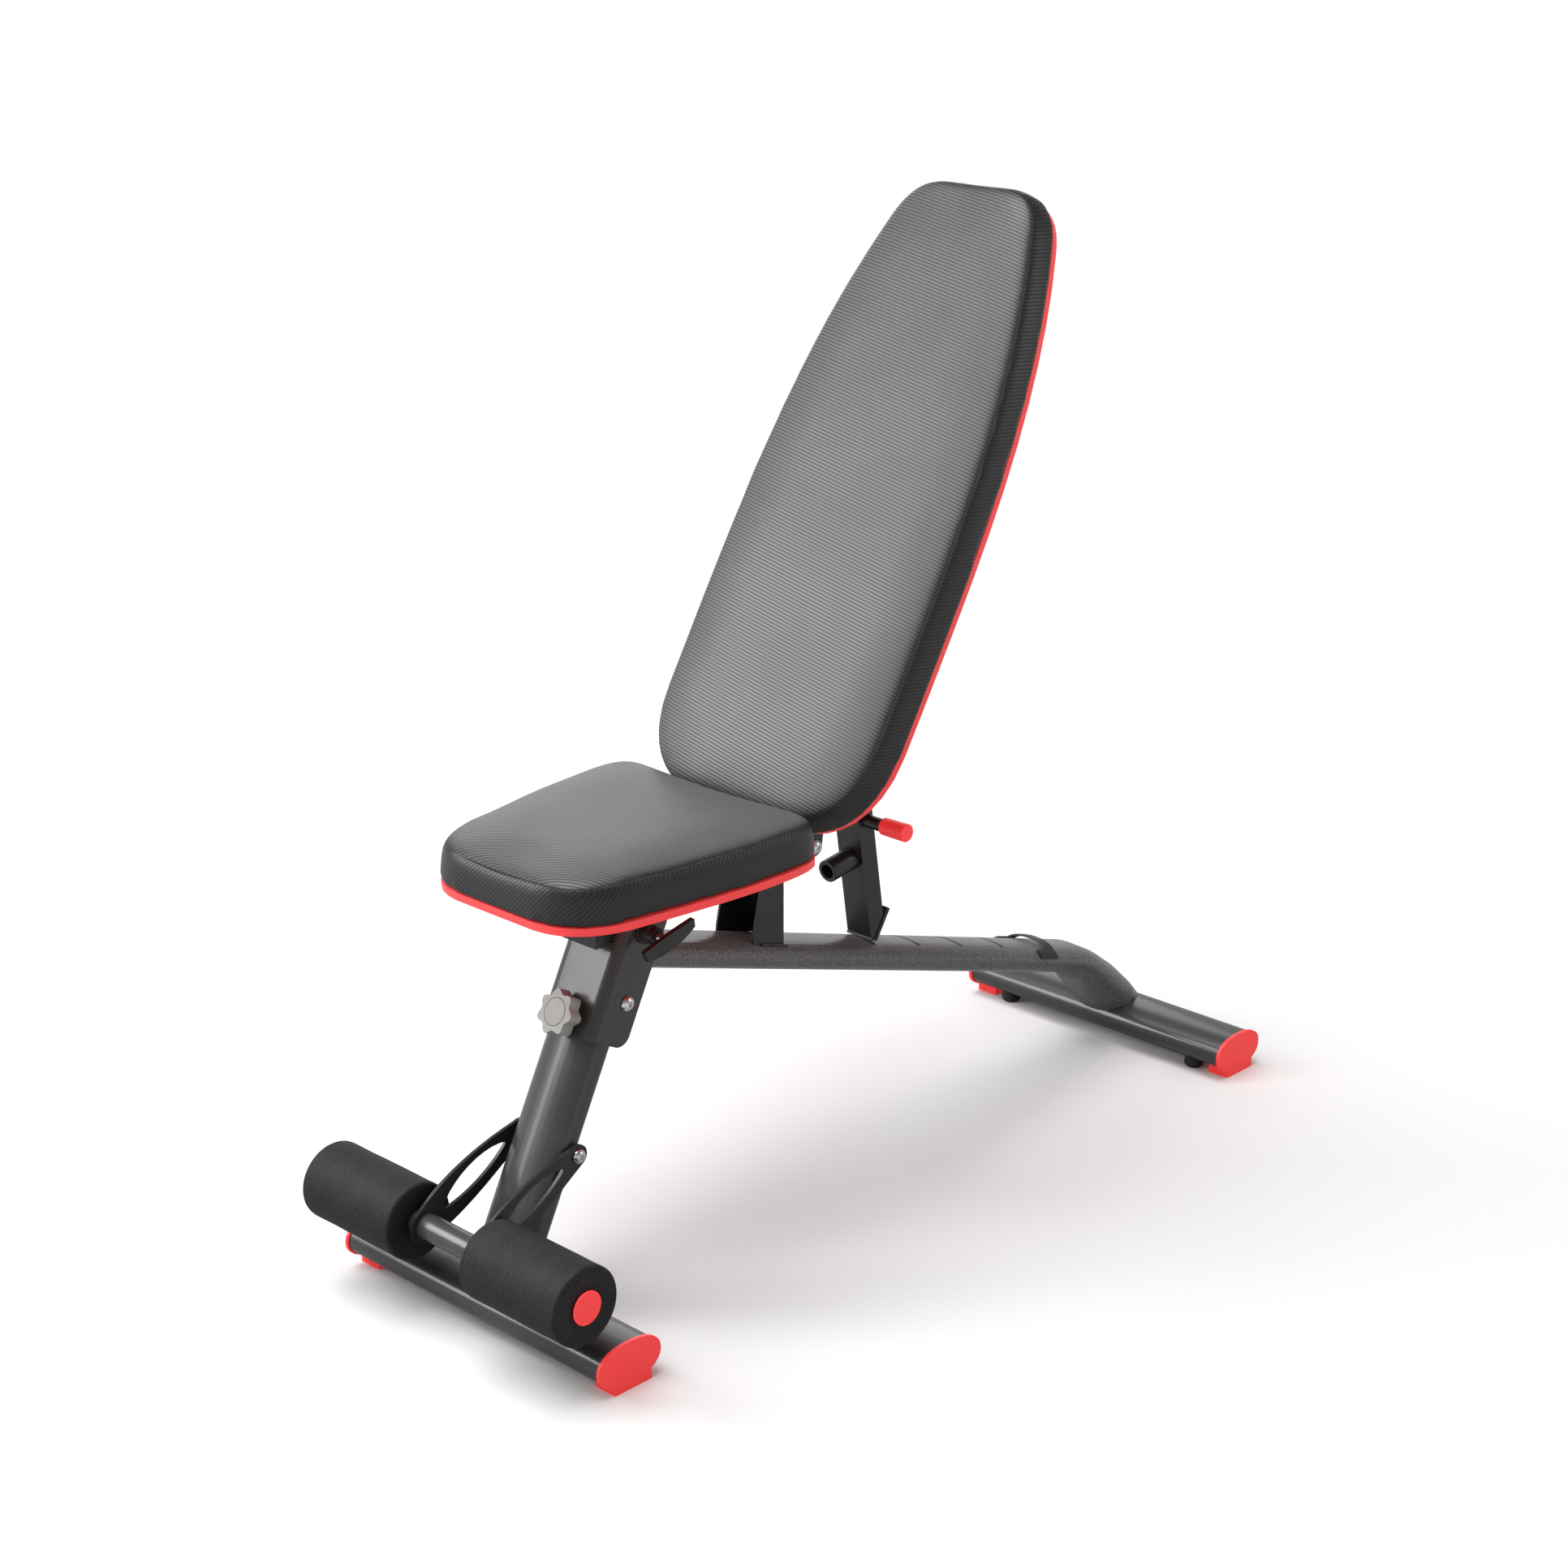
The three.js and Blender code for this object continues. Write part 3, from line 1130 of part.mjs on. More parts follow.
function strutSpacer(x0, x1) {
  return cut(
    rodX(SPACER_RADIUS, x0, x1, STRUT_PIVOT_DEPTH, STRUT_PIVOT_S),
    rodX(ROLLER_BOLT_RADIUS + GAP, x0 - 1, x1 + 1, STRUT_PIVOT_DEPTH, STRUT_PIVOT_S),
  );
}

add(backGroup, "back_frame", backFrame(), blackPaint);
for (const [name, s] of Object.entries(BACK_SCREWS)) {
  const screw = screwUp(SHEET + BASE_THICKNESS - 2).rotateX(Math.PI / 2);
  add(backGroup, name, screw.translate(0, GAP + SHEET + GAP, s), chrome);
}
add(backGroup, "strut_spacer_left", strutSpacer(STRUT_HALF_X + 0.5, FRAME_INNER_X - GAP), blackPaint);
add(backGroup, "strut_spacer_right", strutSpacer(-FRAME_INNER_X + GAP, -STRUT_HALF_X - 0.5), blackPaint);
addBoltPair(
  backGroup,
  "strut_pivot",
  STRUT_PIVOT_DEPTH,
  STRUT_PIVOT_S,
  FRAME_OUTER_X + GAP,
  ROLLER_BOLT_RADIUS,
  ROLLER_BOLT_HEAD_RADIUS,
);

// ---------------------------------------------------------------- strut

const HANDLE_BELOW = 186.8; // handle bar, below the strut pivot
const SOCKET_BELOW = 233.6;
const SOCKET_LENGTH = 39;
const HANDLE_RADIUS = 7.5;
const TONGUE_CLEAR = 0.6; // of the tongue above the crown of the beam

// Foot of the strut in the bench frame: heel is where it stands on the beam.
const heelAlong = SLOT_ZERO + 1;
const heel = vec(
  0,
  beamY(heelAlong, BEAM_HALF_DEPTH + TONGUE_CLEAR),
  beamZ(heelAlong, BEAM_HALF_DEPTH + TONGUE_CLEAR),
);
const KICK_ANGLE = 58; // degrees above the floor, of the slanted kick plate
const KICK_LENGTH = 38;
const KICK_THICKNESS = 5;
const SOLE_THICKNESS = 3; // plate under the end of the tube

// Half-space behind and under the slanted end of the strut tube, in the bench frame.
function belowKickPlate() {
  const waste = box(-60, 60, -100, 200, -200, 0);
  return waste.rotateX(rad(KICK_ANGLE)).translate(0, heel.y + 3, heel.z + 2.5);
}

// Everything lower than a height above the crown of the beam, at the foot.
function belowCrown(height) {
  return box(-60, 60, -200, 200, -200, height).rotateX(-beamSlope).translate(0, heel.y, heel.z);
}

function strutTube() {
  const outer = box(
    -STRUT_HALF_X,
    STRUT_HALF_X,
    -STRUT_HALF_DEPTH,
    STRUT_HALF_DEPTH,
    -360,
    STRUT_HALF_DEPTH + 4,
  );
  const inner = box(
    -STRUT_HALF_X + STRUT_WALL,
    STRUT_HALF_X - STRUT_WALL,
    -STRUT_HALF_DEPTH + STRUT_WALL,
    STRUT_HALF_DEPTH - STRUT_WALL,
    -370,
    STRUT_HALF_DEPTH + 10,
  );
  return cut(
    outer,
    inner,
    seenFrom(strutGroup, belowKickPlate()),
    seenFrom(strutGroup, belowCrown(SOLE_THICKNESS + GAP)),
    rodX(ROLLER_BOLT_RADIUS + RUNNING, -60, 60),
    rodX(HANDLE_RADIUS + GAP, -60, 60, 0, -HANDLE_BELOW),
  );
}

// Kick plate on the slanted end and the sole under the tube, bent from one piece.
function strutFoot() {
  const plate = box(
    -STRUT_HALF_X - 1,
    STRUT_HALF_X + 1,
    0,
    KICK_LENGTH,
    -KICK_THICKNESS - GAP,
    -GAP,
  );
  plate.rotateX(rad(KICK_ANGLE)).translate(0, heel.y + 3, heel.z + 2.5);
  const sole = box(-STRUT_HALF_X - 1, STRUT_HALF_X + 1, -4, 7, 0, SOLE_THICKNESS);
  sole.rotateX(-beamSlope).translate(0, heel.y, heel.z);
  return cut(join(plate, sole), belowCrown(0));
}

function strutSocket() {
  const root = -STRUT_HALF_DEPTH - GAP;
  return cut(
    rodY(13, root - SOCKET_LENGTH, root),
    rodY(8.5, root - SOCKET_LENGTH - 1, root + 1),
  ).translate(0, 0, -SOCKET_BELOW);
}

const HANDLE_END_X = 80;
const GRIP_START_X = 45;

// Rubber grip: a cup pulled over the end of the handle bar.
function handleGrip(side) {
  const bore = HANDLE_RADIUS + GAP;
  const profile = [
    [GRIP_START_X, bore],
    [GRIP_START_X, 9.6],
    [GRIP_START_X + 1, 10],
    [HANDLE_END_X - 1, 10.4],
    [HANDLE_END_X, 9.6],
    [HANDLE_END_X, 0],
    [HANDLE_END_X - 3, 0],
    [HANDLE_END_X - 3, bore],
    [GRIP_START_X, bore],
  ];
  const grip = turnedX(profile).translate(0, 0, -HANDLE_BELOW);
  return side > 0 ? grip : mirrored(grip);
}

const handleHalf = HANDLE_END_X - 3 - GAP;

add(strutGroup, "strut_tube", strutTube(), blackPaint);
add(bench, "strut_foot", strutFoot(), blackPaint);
add(strutGroup, "strut_socket", strutSocket(), blackPaint);
add(strutGroup, "handle_bar", rodX(HANDLE_RADIUS, -handleHalf, handleHalf, 0, -HANDLE_BELOW), blackPaint);
add(strutGroup, "handle_grip_left", handleGrip(1), redPlastic);
add(strutGroup, "handle_grip_right", handleGrip(-1), redPlastic);

// ---------------------------------------------------------------- the whole bench, centred

const frontEnd = ROLLER_Y - ROLLER_RADIUS;
const rearEnd = REAR_BAR_Y + BAR_HALF_Y + CAP_PROUD;
bench.position.y = -(frontEnd + rearEnd) / 2;

export default bench;
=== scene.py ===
"""Looks of the decline sit-up bench: finishes, cushions, foam sleeves, studio and camera.

Metres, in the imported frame: +X the sitter's left, +Y from the foot rollers to the rear, +Z up.
"""

import json
import math

import bmesh
import bpy
import numpy as np
from mathutils import Matrix, Vector


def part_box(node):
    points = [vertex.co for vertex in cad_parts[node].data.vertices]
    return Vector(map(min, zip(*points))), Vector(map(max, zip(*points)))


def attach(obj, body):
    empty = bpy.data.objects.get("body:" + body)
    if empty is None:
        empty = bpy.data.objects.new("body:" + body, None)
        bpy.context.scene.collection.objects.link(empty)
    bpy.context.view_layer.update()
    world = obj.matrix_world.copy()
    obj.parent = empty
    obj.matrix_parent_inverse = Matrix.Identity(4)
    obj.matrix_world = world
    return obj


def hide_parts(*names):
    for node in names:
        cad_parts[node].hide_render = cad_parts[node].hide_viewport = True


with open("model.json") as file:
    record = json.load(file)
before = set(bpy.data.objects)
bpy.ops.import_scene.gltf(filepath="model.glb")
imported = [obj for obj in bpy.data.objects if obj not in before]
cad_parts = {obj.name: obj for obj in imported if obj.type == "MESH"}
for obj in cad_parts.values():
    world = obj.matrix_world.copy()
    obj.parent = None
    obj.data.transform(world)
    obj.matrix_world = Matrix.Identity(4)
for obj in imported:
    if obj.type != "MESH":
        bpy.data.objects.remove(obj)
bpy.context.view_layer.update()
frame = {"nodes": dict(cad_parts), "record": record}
scene = bpy.context.scene

MM = 0.001
BACK_ANGLE = 58.75  # the back pad's slope above level, in degrees

# ------------------------------------------------------------------ material helpers


class Nodes:
    """One material's node tree, with short calls for the nodes used here."""

    def __init__(self, name):
        self.material = bpy.data.materials.new(name)
        self.material.use_nodes = True
        self.tree = self.material.node_tree
        self.shader = self.tree.nodes["Principled BSDF"]
        self.coords = self.tree.nodes.new("ShaderNodeTexCoord")

    def link(self, source, target):
        self.tree.links.new(source, target)

    def feed(self, socket, value):
        """Links a socket, or sets a plain value."""
        if isinstance(value, bpy.types.NodeSocket):
            self.link(value, socket)
        elif value is not None:
            socket.default_value = value

    def set(self, **values):
        """Sets inputs of the main shader: set(Roughness=0.3, Base_Color=...)."""
        for name, value in values.items():
            if isinstance(value, tuple) and len(value) == 3:
                value = (*value, 1.0)
            self.feed(self.shader.inputs[name.replace("_", " ")], value)

    def point(self):
        return self.coords.outputs["Object"]

    def axes(self, vector):
        node = self.tree.nodes.new("ShaderNodeSeparateXYZ")
        self.link(vector, node.inputs[0])
        return node.outputs

    def scaled(self, factors):
        node = self.tree.nodes.new("ShaderNodeMapping")
        self.link(self.point(), node.inputs["Vector"])
        node.inputs["Scale"].default_value = factors
        return node.outputs["Vector"]

    def math(self, operation, a, b=0.0):
        node = self.tree.nodes.new("ShaderNodeMath")
        node.operation = operation
        self.feed(node.inputs[0], a)
        self.feed(node.inputs[1], b)
        return node.outputs[0]

    def noise(self, size, detail=2.0, vector=None, roughness=0.5):
        """Noise with features about as large as size, in metres."""
        node = self.tree.nodes.new("ShaderNodeTexNoise")
        node.inputs["Scale"].default_value = 1.0 / size
        node.inputs["Detail"].default_value = detail
        node.inputs["Roughness"].default_value = roughness
        self.link(vector or self.point(), node.inputs["Vector"])
        return node.outputs["Fac"]

    def cells(self, size):
        """Distance to the middle of the nearest cell, for cells about as large as size."""
        node = self.tree.nodes.new("ShaderNodeTexVoronoi")
        node.inputs["Scale"].default_value = 1.0 / size
        self.link(self.point(), node.inputs["Vector"])
        return node.outputs["Distance"]

    def steps(self, value, low, high, to_low=0.0, to_high=1.0):
        """Maps low..high to to_low..to_high smoothly, held beyond both ends."""
        node = self.tree.nodes.new("ShaderNodeMapRange")
        node.interpolation_type = "SMOOTHSTEP"
        self.feed(node.inputs["Value"], value)
        for name, number in zip(("From Min", "From Max", "To Min", "To Max"), (low, high, to_low, to_high)):
            node.inputs[name].default_value = number
        return node.outputs["Result"]

    def mix(self, factor, a, b):
        """Colour a where factor is 0 and colour b where it is 1."""
        node = self.tree.nodes.new("ShaderNodeMix")
        node.data_type = "RGBA"
        self.feed(node.inputs["Factor"], factor)
        for name, colour in (("A", a), ("B", b)):
            socket = [s for s in node.inputs if s.name == name and s.type == "RGBA"][0]
            self.feed(socket, (*colour, 1.0) if isinstance(colour, tuple) else colour)
        return [s for s in node.outputs if s.type == "RGBA"][0]

    def bump(self, height, strength, distance, after=None):
        node = self.tree.nodes.new("ShaderNodeBump")
        node.inputs["Strength"].default_value = strength
        node.inputs["Distance"].default_value = distance
        self.feed(node.inputs["Height"], height)
        self.feed(node.inputs["Normal"], after)
        return node.outputs["Normal"]

    def edges(self, radius):
        """1 on edges sharper than the radius, 0 on flat and gently curved faces."""
        soft = self.tree.nodes.new("ShaderNodeBevel")
        soft.samples = 4
        soft.inputs["Radius"].default_value = radius
        plain = self.tree.nodes.new("ShaderNodeNewGeometry")
        dot = self.tree.nodes.new("ShaderNodeVectorMath")
        dot.operation = "DOT_PRODUCT"
        self.link(soft.outputs["Normal"], dot.inputs[0])
        self.link(plain.outputs["Normal"], dot.inputs[1])
        return self.steps(dot.outputs["Value"], 0.93, 0.78)


# ------------------------------------------------------------------ metal finishes


def painted(name, colour, worn_colour, roughness, peel=0.12):
    """Powder coat: orange-peel bump, uneven gloss and edges rubbed a little lighter."""
    m = Nodes(name)
    cloud = m.noise(60 * MM, 3)
    body = m.mix(m.steps(cloud, 0.35, 0.65), colour, tuple(c * 1.1 for c in colour))
    patchy = m.steps(m.noise(7 * MM, 4), 0.4, 0.65)
    worn = m.math("MULTIPLY", m.edges(0.7 * MM), patchy)
    m.set(Base_Color=m.mix(m.math("MULTIPLY", worn, 0.4), body, worn_colour))
    m.set(Roughness=m.steps(m.noise(45 * MM, 3), 0.3, 0.7, roughness - 0.015, roughness + 0.02))
    m.set(Normal=m.bump(m.noise(0.9 * MM, 2), peel, 0.12 * MM))
    return m


def charcoal_paint():
    m = painted("charcoal_powder_coat", (0.042, 0.042, 0.0425), (0.13, 0.13, 0.13), 0.33, 0.06)
    m.set(Coat_Weight=0.35, Coat_Roughness=0.12)
    return m.material


def black_paint():
    return painted("black_powder_coat", (0.016, 0.016, 0.017), (0.085, 0.085, 0.085), 0.36).material


def speckled_paint():
    """Grey hammered coat with fine light grains."""
    m = painted("speckled_powder_coat", (0.088, 0.088, 0.088), (0.2, 0.2, 0.2), 0.32, 0.08)
    coat = m.shader.inputs["Base Color"].links[0].from_socket
    grain = m.steps(m.noise(1.2 * MM, 1), 0.5, 0.62)
    m.set(Base_Color=m.mix(m.math("MULTIPLY", grain, 0.6), coat, (0.36, 0.36, 0.36)))
    m.set(Normal=m.bump(m.noise(1.0 * MM, 1), 0.15, 0.12 * MM))
    return m.material


def chrome():
    """Bright plated steel with faint turning marks and a few dull spots."""
    m = Nodes("bright_plating")
    dull = m.steps(m.noise(3 * MM, 4), 0.5, 0.75)
    m.set(Metallic=1.0, Base_Color=m.mix(dull, (0.78, 0.78, 0.79), (0.58, 0.58, 0.58)))
    m.set(Roughness=m.steps(m.noise(2 * MM, 3), 0.3, 0.7, 0.12, 0.26))
    m.set(Normal=m.bump(m.noise(0.5 * MM, 1, m.scaled((0.2, 1, 1))), 0.05, 0.05 * MM))
    return m.material


# ------------------------------------------------------------------ plastics and rubber


def moulded(name, colour, pale, roughness, grain):
    """Moulded plastic: slight colour drift, fine spark grain, edges polished paler."""
    m = Nodes(name)
    drift = m.mix(m.steps(m.noise(25 * MM, 2), 0.35, 0.65), colour, tuple(c * 0.93 for c in colour))
    m.set(Base_Color=m.mix(m.math("MULTIPLY", m.edges(0.8 * MM), 0.35), drift, pale))
    m.set(Roughness=m.steps(m.noise(6 * MM, 3), 0.3, 0.7, roughness - 0.04, roughness + 0.05))
    m.set(Normal=m.bump(m.noise(0.35 * MM, 2), grain, 0.06 * MM))
    return m


# Painted glow: the red pieces give off a little light of their own, as under these lights a plain red looks
# too dull.
RED_PAINTED_GLOW = (1.0, 0.05, 0.05)


def red_plastic():
    m = moulded("red_plastic_moulded", (1.0, 0.05, 0.048), (1.0, 0.18, 0.17), 0.36, 0.15)
    # painted glow: the red plastic gives off light though it is no lamp
    m.set(Emission_Color=RED_PAINTED_GLOW, Emission_Strength=0.32)
    return m.material


def grey_plastic():
    return moulded("grey_plastic_moulded", (0.4, 0.42, 0.39), (0.52, 0.54, 0.51), 0.45, 0.25).material


def black_rubber():
    return moulded("black_rubber_moulded", (0.014, 0.014, 0.014), (0.04, 0.04, 0.04), 0.62, 0.4).material


def foam_rubber():
    """Closed-cell foam: pitted skin, sparse pale specks."""
    m = Nodes("closed_cell_foam")
    specks = m.steps(m.noise(1.5 * MM, 1, roughness=0.3), 0.66, 0.74)
    tone = m.mix(m.steps(m.noise(22 * MM, 3), 0.3, 0.7), (0.009, 0.009, 0.0093), (0.014, 0.014, 0.0144))
    m.set(Base_Color=m.mix(m.math("MULTIPLY", specks, 0.4), tone, (0.11, 0.11, 0.11)))
    m.set(Roughness=0.68, Specular_IOR_Level=0.35)
    pits = m.bump(m.cells(1.3 * MM), 0.35, 0.18 * MM)
    m.set(Normal=m.bump(m.noise(9 * MM, 3), 0.2, 0.6 * MM, after=pits))
    return m.material


# ------------------------------------------------------------------ upholstery

TWILL_PITCH = 3.7 * MM


def twill_vinyl(name, top_turn, side_lean):
    """Carbon-look vinyl, with painted shade on the pad's sides. Its diagonal ribs run one way on the pad's
    face and another on its sides.

    top_turn is the ribs' direction on the face and side_lean their slope on the sides, in degrees.
    The pad lies flat in its own coordinates, so its face looks along +Z.
    """
    m = Nodes(name)
    x, y, z = m.axes(m.point())
    nx, ny, nz = m.axes(m.coords.outputs["Normal"])
    across = (-math.sin(math.radians(top_turn)), math.cos(math.radians(top_turn)))
    on_face = m.math("ADD", m.math("MULTIPLY", x, across[0]), m.math("MULTIPLY", y, across[1]))
    # Distance round the side: the axis that the side runs along, with its sign.
    faces_x = m.math("GREATER_THAN", m.math("ABSOLUTE", nx), m.math("ABSOLUTE", ny))
    along_x = m.math("MULTIPLY", m.math("MULTIPLY", x, m.math("SIGN", ny)), -1.0)
    along_y = m.math("MULTIPLY", y, m.math("SIGN", nx))
    run = m.tree.nodes.new("ShaderNodeMix")
    m.link(faces_x, run.inputs["Factor"])
    m.link(along_x, run.inputs["A"])
    m.link(along_y, run.inputs["B"])
    lean = math.radians(side_lean)
    round_it = m.math("MULTIPLY", run.outputs[0], math.sin(lean))
    up_it = m.math("MULTIPLY", z, -math.cos(lean))
    on_side = m.math("ADD", round_it, up_it)
    is_face = m.steps(nz, 0.62, 0.72)
    painted_side_shade_mask = m.steps(nz, 0.68, 0.99)  # painted shade: the sides get a darker colour than the face, to look as dark as the real ones
    shown = m.tree.nodes.new("ShaderNodeMix")
    m.link(is_face, shown.inputs["Factor"])
    m.link(on_side, shown.inputs["A"])
    m.link(on_face, shown.inputs["B"])
    wave = m.math("SINE", m.math("MULTIPLY", shown.outputs[0], 2 * math.pi / TWILL_PITCH))
    rib = m.steps(wave, -0.75, 0.75)
    threads = m.noise(0.7 * MM, 1)
    drift = m.steps(m.noise(90 * MM, 3), 0.35, 0.65)
    grey = m.mix(drift, (0.135, 0.135, 0.135), (0.155, 0.155, 0.155))
    # painted shade: darker rib and groove colours on the sides than on the face
    tone = m.mix(painted_side_shade_mask, (0.019, 0.019, 0.019), grey)
    groove = m.mix(painted_side_shade_mask, (0.004, 0.004, 0.004), (0.055, 0.055, 0.055))
    raised = m.math("MULTIPLY", rib, m.steps(threads, 0.2, 0.6, 0.85, 1.0))
    m.set(Base_Color=m.mix(raised, groove, tone))
    m.set(Roughness=m.steps(rib, 0, 1, 0.5, 0.36))
    weave = m.bump(rib, 0.5, 0.22 * MM)
    m.set(Normal=m.bump(m.noise(35 * MM, 3), 0.12, 1.2 * MM, after=weave))
    return m.material


def red_vinyl():
    """Smooth vinyl over the board: fine leather grain, a soft sheen and a little painted glow."""
    m = Nodes("coral_vinyl")
    tone = m.mix(m.steps(m.noise(40 * MM, 3), 0.3, 0.7), (1.0, 0.06, 0.065), (0.95, 0.052, 0.057))
    m.set(Base_Color=m.mix(m.math("MULTIPLY", m.edges(1.0 * MM), 0.25), tone, (1.0, 0.17, 0.17)))
    m.set(Roughness=m.steps(m.noise(5 * MM, 3), 0.3, 0.7, 0.42, 0.54), Sheen_Weight=0.1)
    # painted glow: the red vinyl gives off a little light of its own, though it is no lamp
    m.set(Emission_Color=RED_PAINTED_GLOW, Emission_Strength=0.2)
    m.set(Normal=m.bump(m.cells(1.1 * MM), 0.2, 0.08 * MM))
    return m.material


FINISHES = {
    "charcoal_paint": charcoal_paint(),
    "speckled_paint": speckled_paint(),
    "black_paint": black_paint(),
    "chrome": chrome(),
    "red_plastic": red_plastic(),
    "grey_plastic": grey_plastic(),
    "black_rubber": black_rubber(),
    "foam": foam_rubber(),
    "red_vinyl": red_vinyl(),
}

# ------------------------------------------------------------------ carried-over CAD nodes


def sharp_edge_group():
    """Geometry nodes that keep edges over 35 degrees sharp and shade the rest smooth."""
    group = bpy.data.node_groups.new("keep_sharp_edges", "GeometryNodeTree")
    group.interface.new_socket("Geometry", in_out="INPUT", socket_type="NodeSocketGeometry")
    group.interface.new_socket("Geometry", in_out="OUTPUT", socket_type="NodeSocketGeometry")
    start = group.nodes.new("NodeGroupInput")
    end = group.nodes.new("NodeGroupOutput")
    smooth_faces = group.nodes.new("GeometryNodeSetShadeSmooth")
    smooth_edges = group.nodes.new("GeometryNodeSetShadeSmooth")
    smooth_edges.domain = "EDGE"
    angle = group.nodes.new("GeometryNodeInputMeshEdgeAngle")
    gentle = group.nodes.new("FunctionNodeCompare")
    gentle.operation = "LESS_THAN"
    gentle.inputs[1].default_value = math.radians(35)
    group.links.new(angle.outputs["Unsigned Angle"], gentle.inputs[0])
    group.links.new(start.outputs[0], smooth_faces.inputs["Geometry"])
    group.links.new(smooth_faces.outputs[0], smooth_edges.inputs["Geometry"])
    group.links.new(gentle.outputs[0], smooth_edges.inputs["Shade Smooth"])
    group.links.new(smooth_edges.outputs[0], end.inputs[0])
    return group


SHARP_EDGES = sharp_edge_group()

BEVELS = {  # width of the rounded edges on each finish
    "charcoal_paint": 0.9 * MM,
    "speckled_paint": 0.6 * MM,
    "black_paint": 0.8 * MM,
    "chrome": 0.5 * MM,
    "red_plastic": 1.2 * MM,
    "grey_plastic": 1.4 * MM,
    "black_rubber": 1.0 * MM,
    "red_vinyl": 1.2 * MM,
}


def soften_edges(piece, width):
    """Joins the faces, rounds the sharp edges and evens out the shading, all as modifiers."""
    weld = piece.modifiers.new("weld", "WELD")
    weld.merge_threshold = 0.01 * MM
    bevel = piece.modifiers.new("rounded_edges", "BEVEL")
    bevel.width = width
    bevel.segments = 2
    bevel.limit_method = "ANGLE"
    bevel.angle_limit = math.radians(35)
    sharp = piece.modifiers.new("sharp_edges", "NODES")
    sharp.node_group = SHARP_EDGES
    even = piece.modifiers.new("even_shading", "WEIGHTED_NORMAL")
    even.keep_sharp = True


def dress_cad_nodes():
    for subpart in frame["record"]["subparts"]:
        slot = subpart["material_slot"]
        if slot not in BEVELS:
            continue
        piece = frame["nodes"][subpart["node"]]
        mesh = piece.data
        mesh.materials.clear()
        mesh.materials.append(FINISHES[slot])
        if "custom_normal" in mesh.attributes:
            mesh.attributes.remove(mesh.attributes["custom_normal"])
        soften_edges(piece, BEVELS[slot])


# ------------------------------------------------------------------ cushions

VOXEL = 5 * MM
HELD_EDGE = 7 * MM  # the cover is stapled down over this height
TUCK = 0.6 * MM  # the cover reaches this far down over the board
THINNER = 2.5 * MM  # taken off the top before the cover swells
SWELL_LIMIT = 7 * MM  # furthest that the cover may swell
SWELL_FRAMES = 20
REMESH_ROUNDS = 6
EVENING_ROUNDS = 90
SHOULDER_ROUNDS = 18
SETTLING_ROUNDS = 5


def new_piece(name, mesh, material):
    piece = bpy.data.objects.new(name, mesh)
    scene.collection.objects.link(piece)
    mesh.materials.clear()
    mesh.materials.append(material)
    return piece


def evaluated_mesh(piece):
    """A plain mesh of the piece with its modifiers applied."""
    graph = bpy.context.evaluated_depsgraph_get()
    return bpy.data.meshes.new_from_object(piece.evaluated_get(graph))


def apply_modifiers(piece):
    mesh = evaluated_mesh(piece)
    piece.modifiers.clear()
    piece.data = mesh


def flat_copy(node, name, slope, inset):
    """A copy of a CAD pad, lying flat in its own coordinates, a little thinner.

    Its sides move in by the inset; a negative inset makes it wider.
    """
    matrix = Matrix.Rotation(math.radians(slope), 4, "X")
    mesh = frame["nodes"][node].data.copy()
    mesh.name = name
    mesh.transform(matrix.inverted())
    if "custom_normal" in mesh.attributes:
        mesh.attributes.remove(mesh.attributes["custom_normal"])
    work = bmesh.new()
    work.from_mesh(mesh)
    bmesh.ops.remove_doubles(work, verts=work.verts, dist=0.01 * MM)
    lows = [min(v.co[i] for v in work.verts) for i in range(3)]
    highs = [max(v.co[i] for v in work.verts) for i in range(3)]
    middle = [(a + b) / 2 for a, b in zip(lows, highs)]
    taller = 1 + (TUCK - THINNER) / (highs[2] - lows[2])
    for v in work.verts:
        for i in (0, 1):
            half = (highs[i] - lows[i]) / 2
            v.co[i] = middle[i] + (v.co[i] - middle[i]) * (1 - inset / half)
        v.co.z = highs[2] - THINNER - (highs[2] - v.co.z) * taller
    work.to_mesh(mesh)
    work.free()
    return mesh, matrix, lows[2] - TUCK


def evened(moves, mesh, held):
    """Spreads each vertex's move over its neighbours, so that the cover is taut and free of puckers."""
    pairs = np.empty(len(mesh.edges) * 2, int)
    mesh.edges.foreach_get("vertices", pairs)
    pairs = pairs.reshape(-1, 2)
    neighbours = np.bincount(pairs.ravel(), minlength=len(moves))[:, None]
    for _ in range(EVENING_ROUNDS):
        total = np.zeros_like(moves)
        np.add.at(total, pairs[:, 0], moves[pairs[:, 1]])
        np.add.at(total, pairs[:, 1], moves[pairs[:, 0]])
        moves = (moves + total / neighbours) / 2
        moves[held] = 0
    return moves


def cover_cloth(piece, held_group):
    """Adds a light, fairly stiff cloth under pressure, held by a vertex group."""
    cloth = piece.modifiers.new("cover", "CLOTH")
    cloth.settings.quality = 6
    cloth.settings.mass = 0.3
    cloth.settings.tension_stiffness = 12
    cloth.settings.compression_stiffness = 12
    cloth.settings.shear_stiffness = 6
    cloth.settings.bending_stiffness = 2.0
    cloth.settings.use_pressure = True
    cloth.settings.uniform_pressure_force = 4.0
    cloth.settings.effector_weights.gravity = 0.0
    cloth.settings.vertex_group_mass = held_group
    cloth.point_cache.frame_start = 1
    cloth.point_cache.frame_end = SWELL_FRAMES


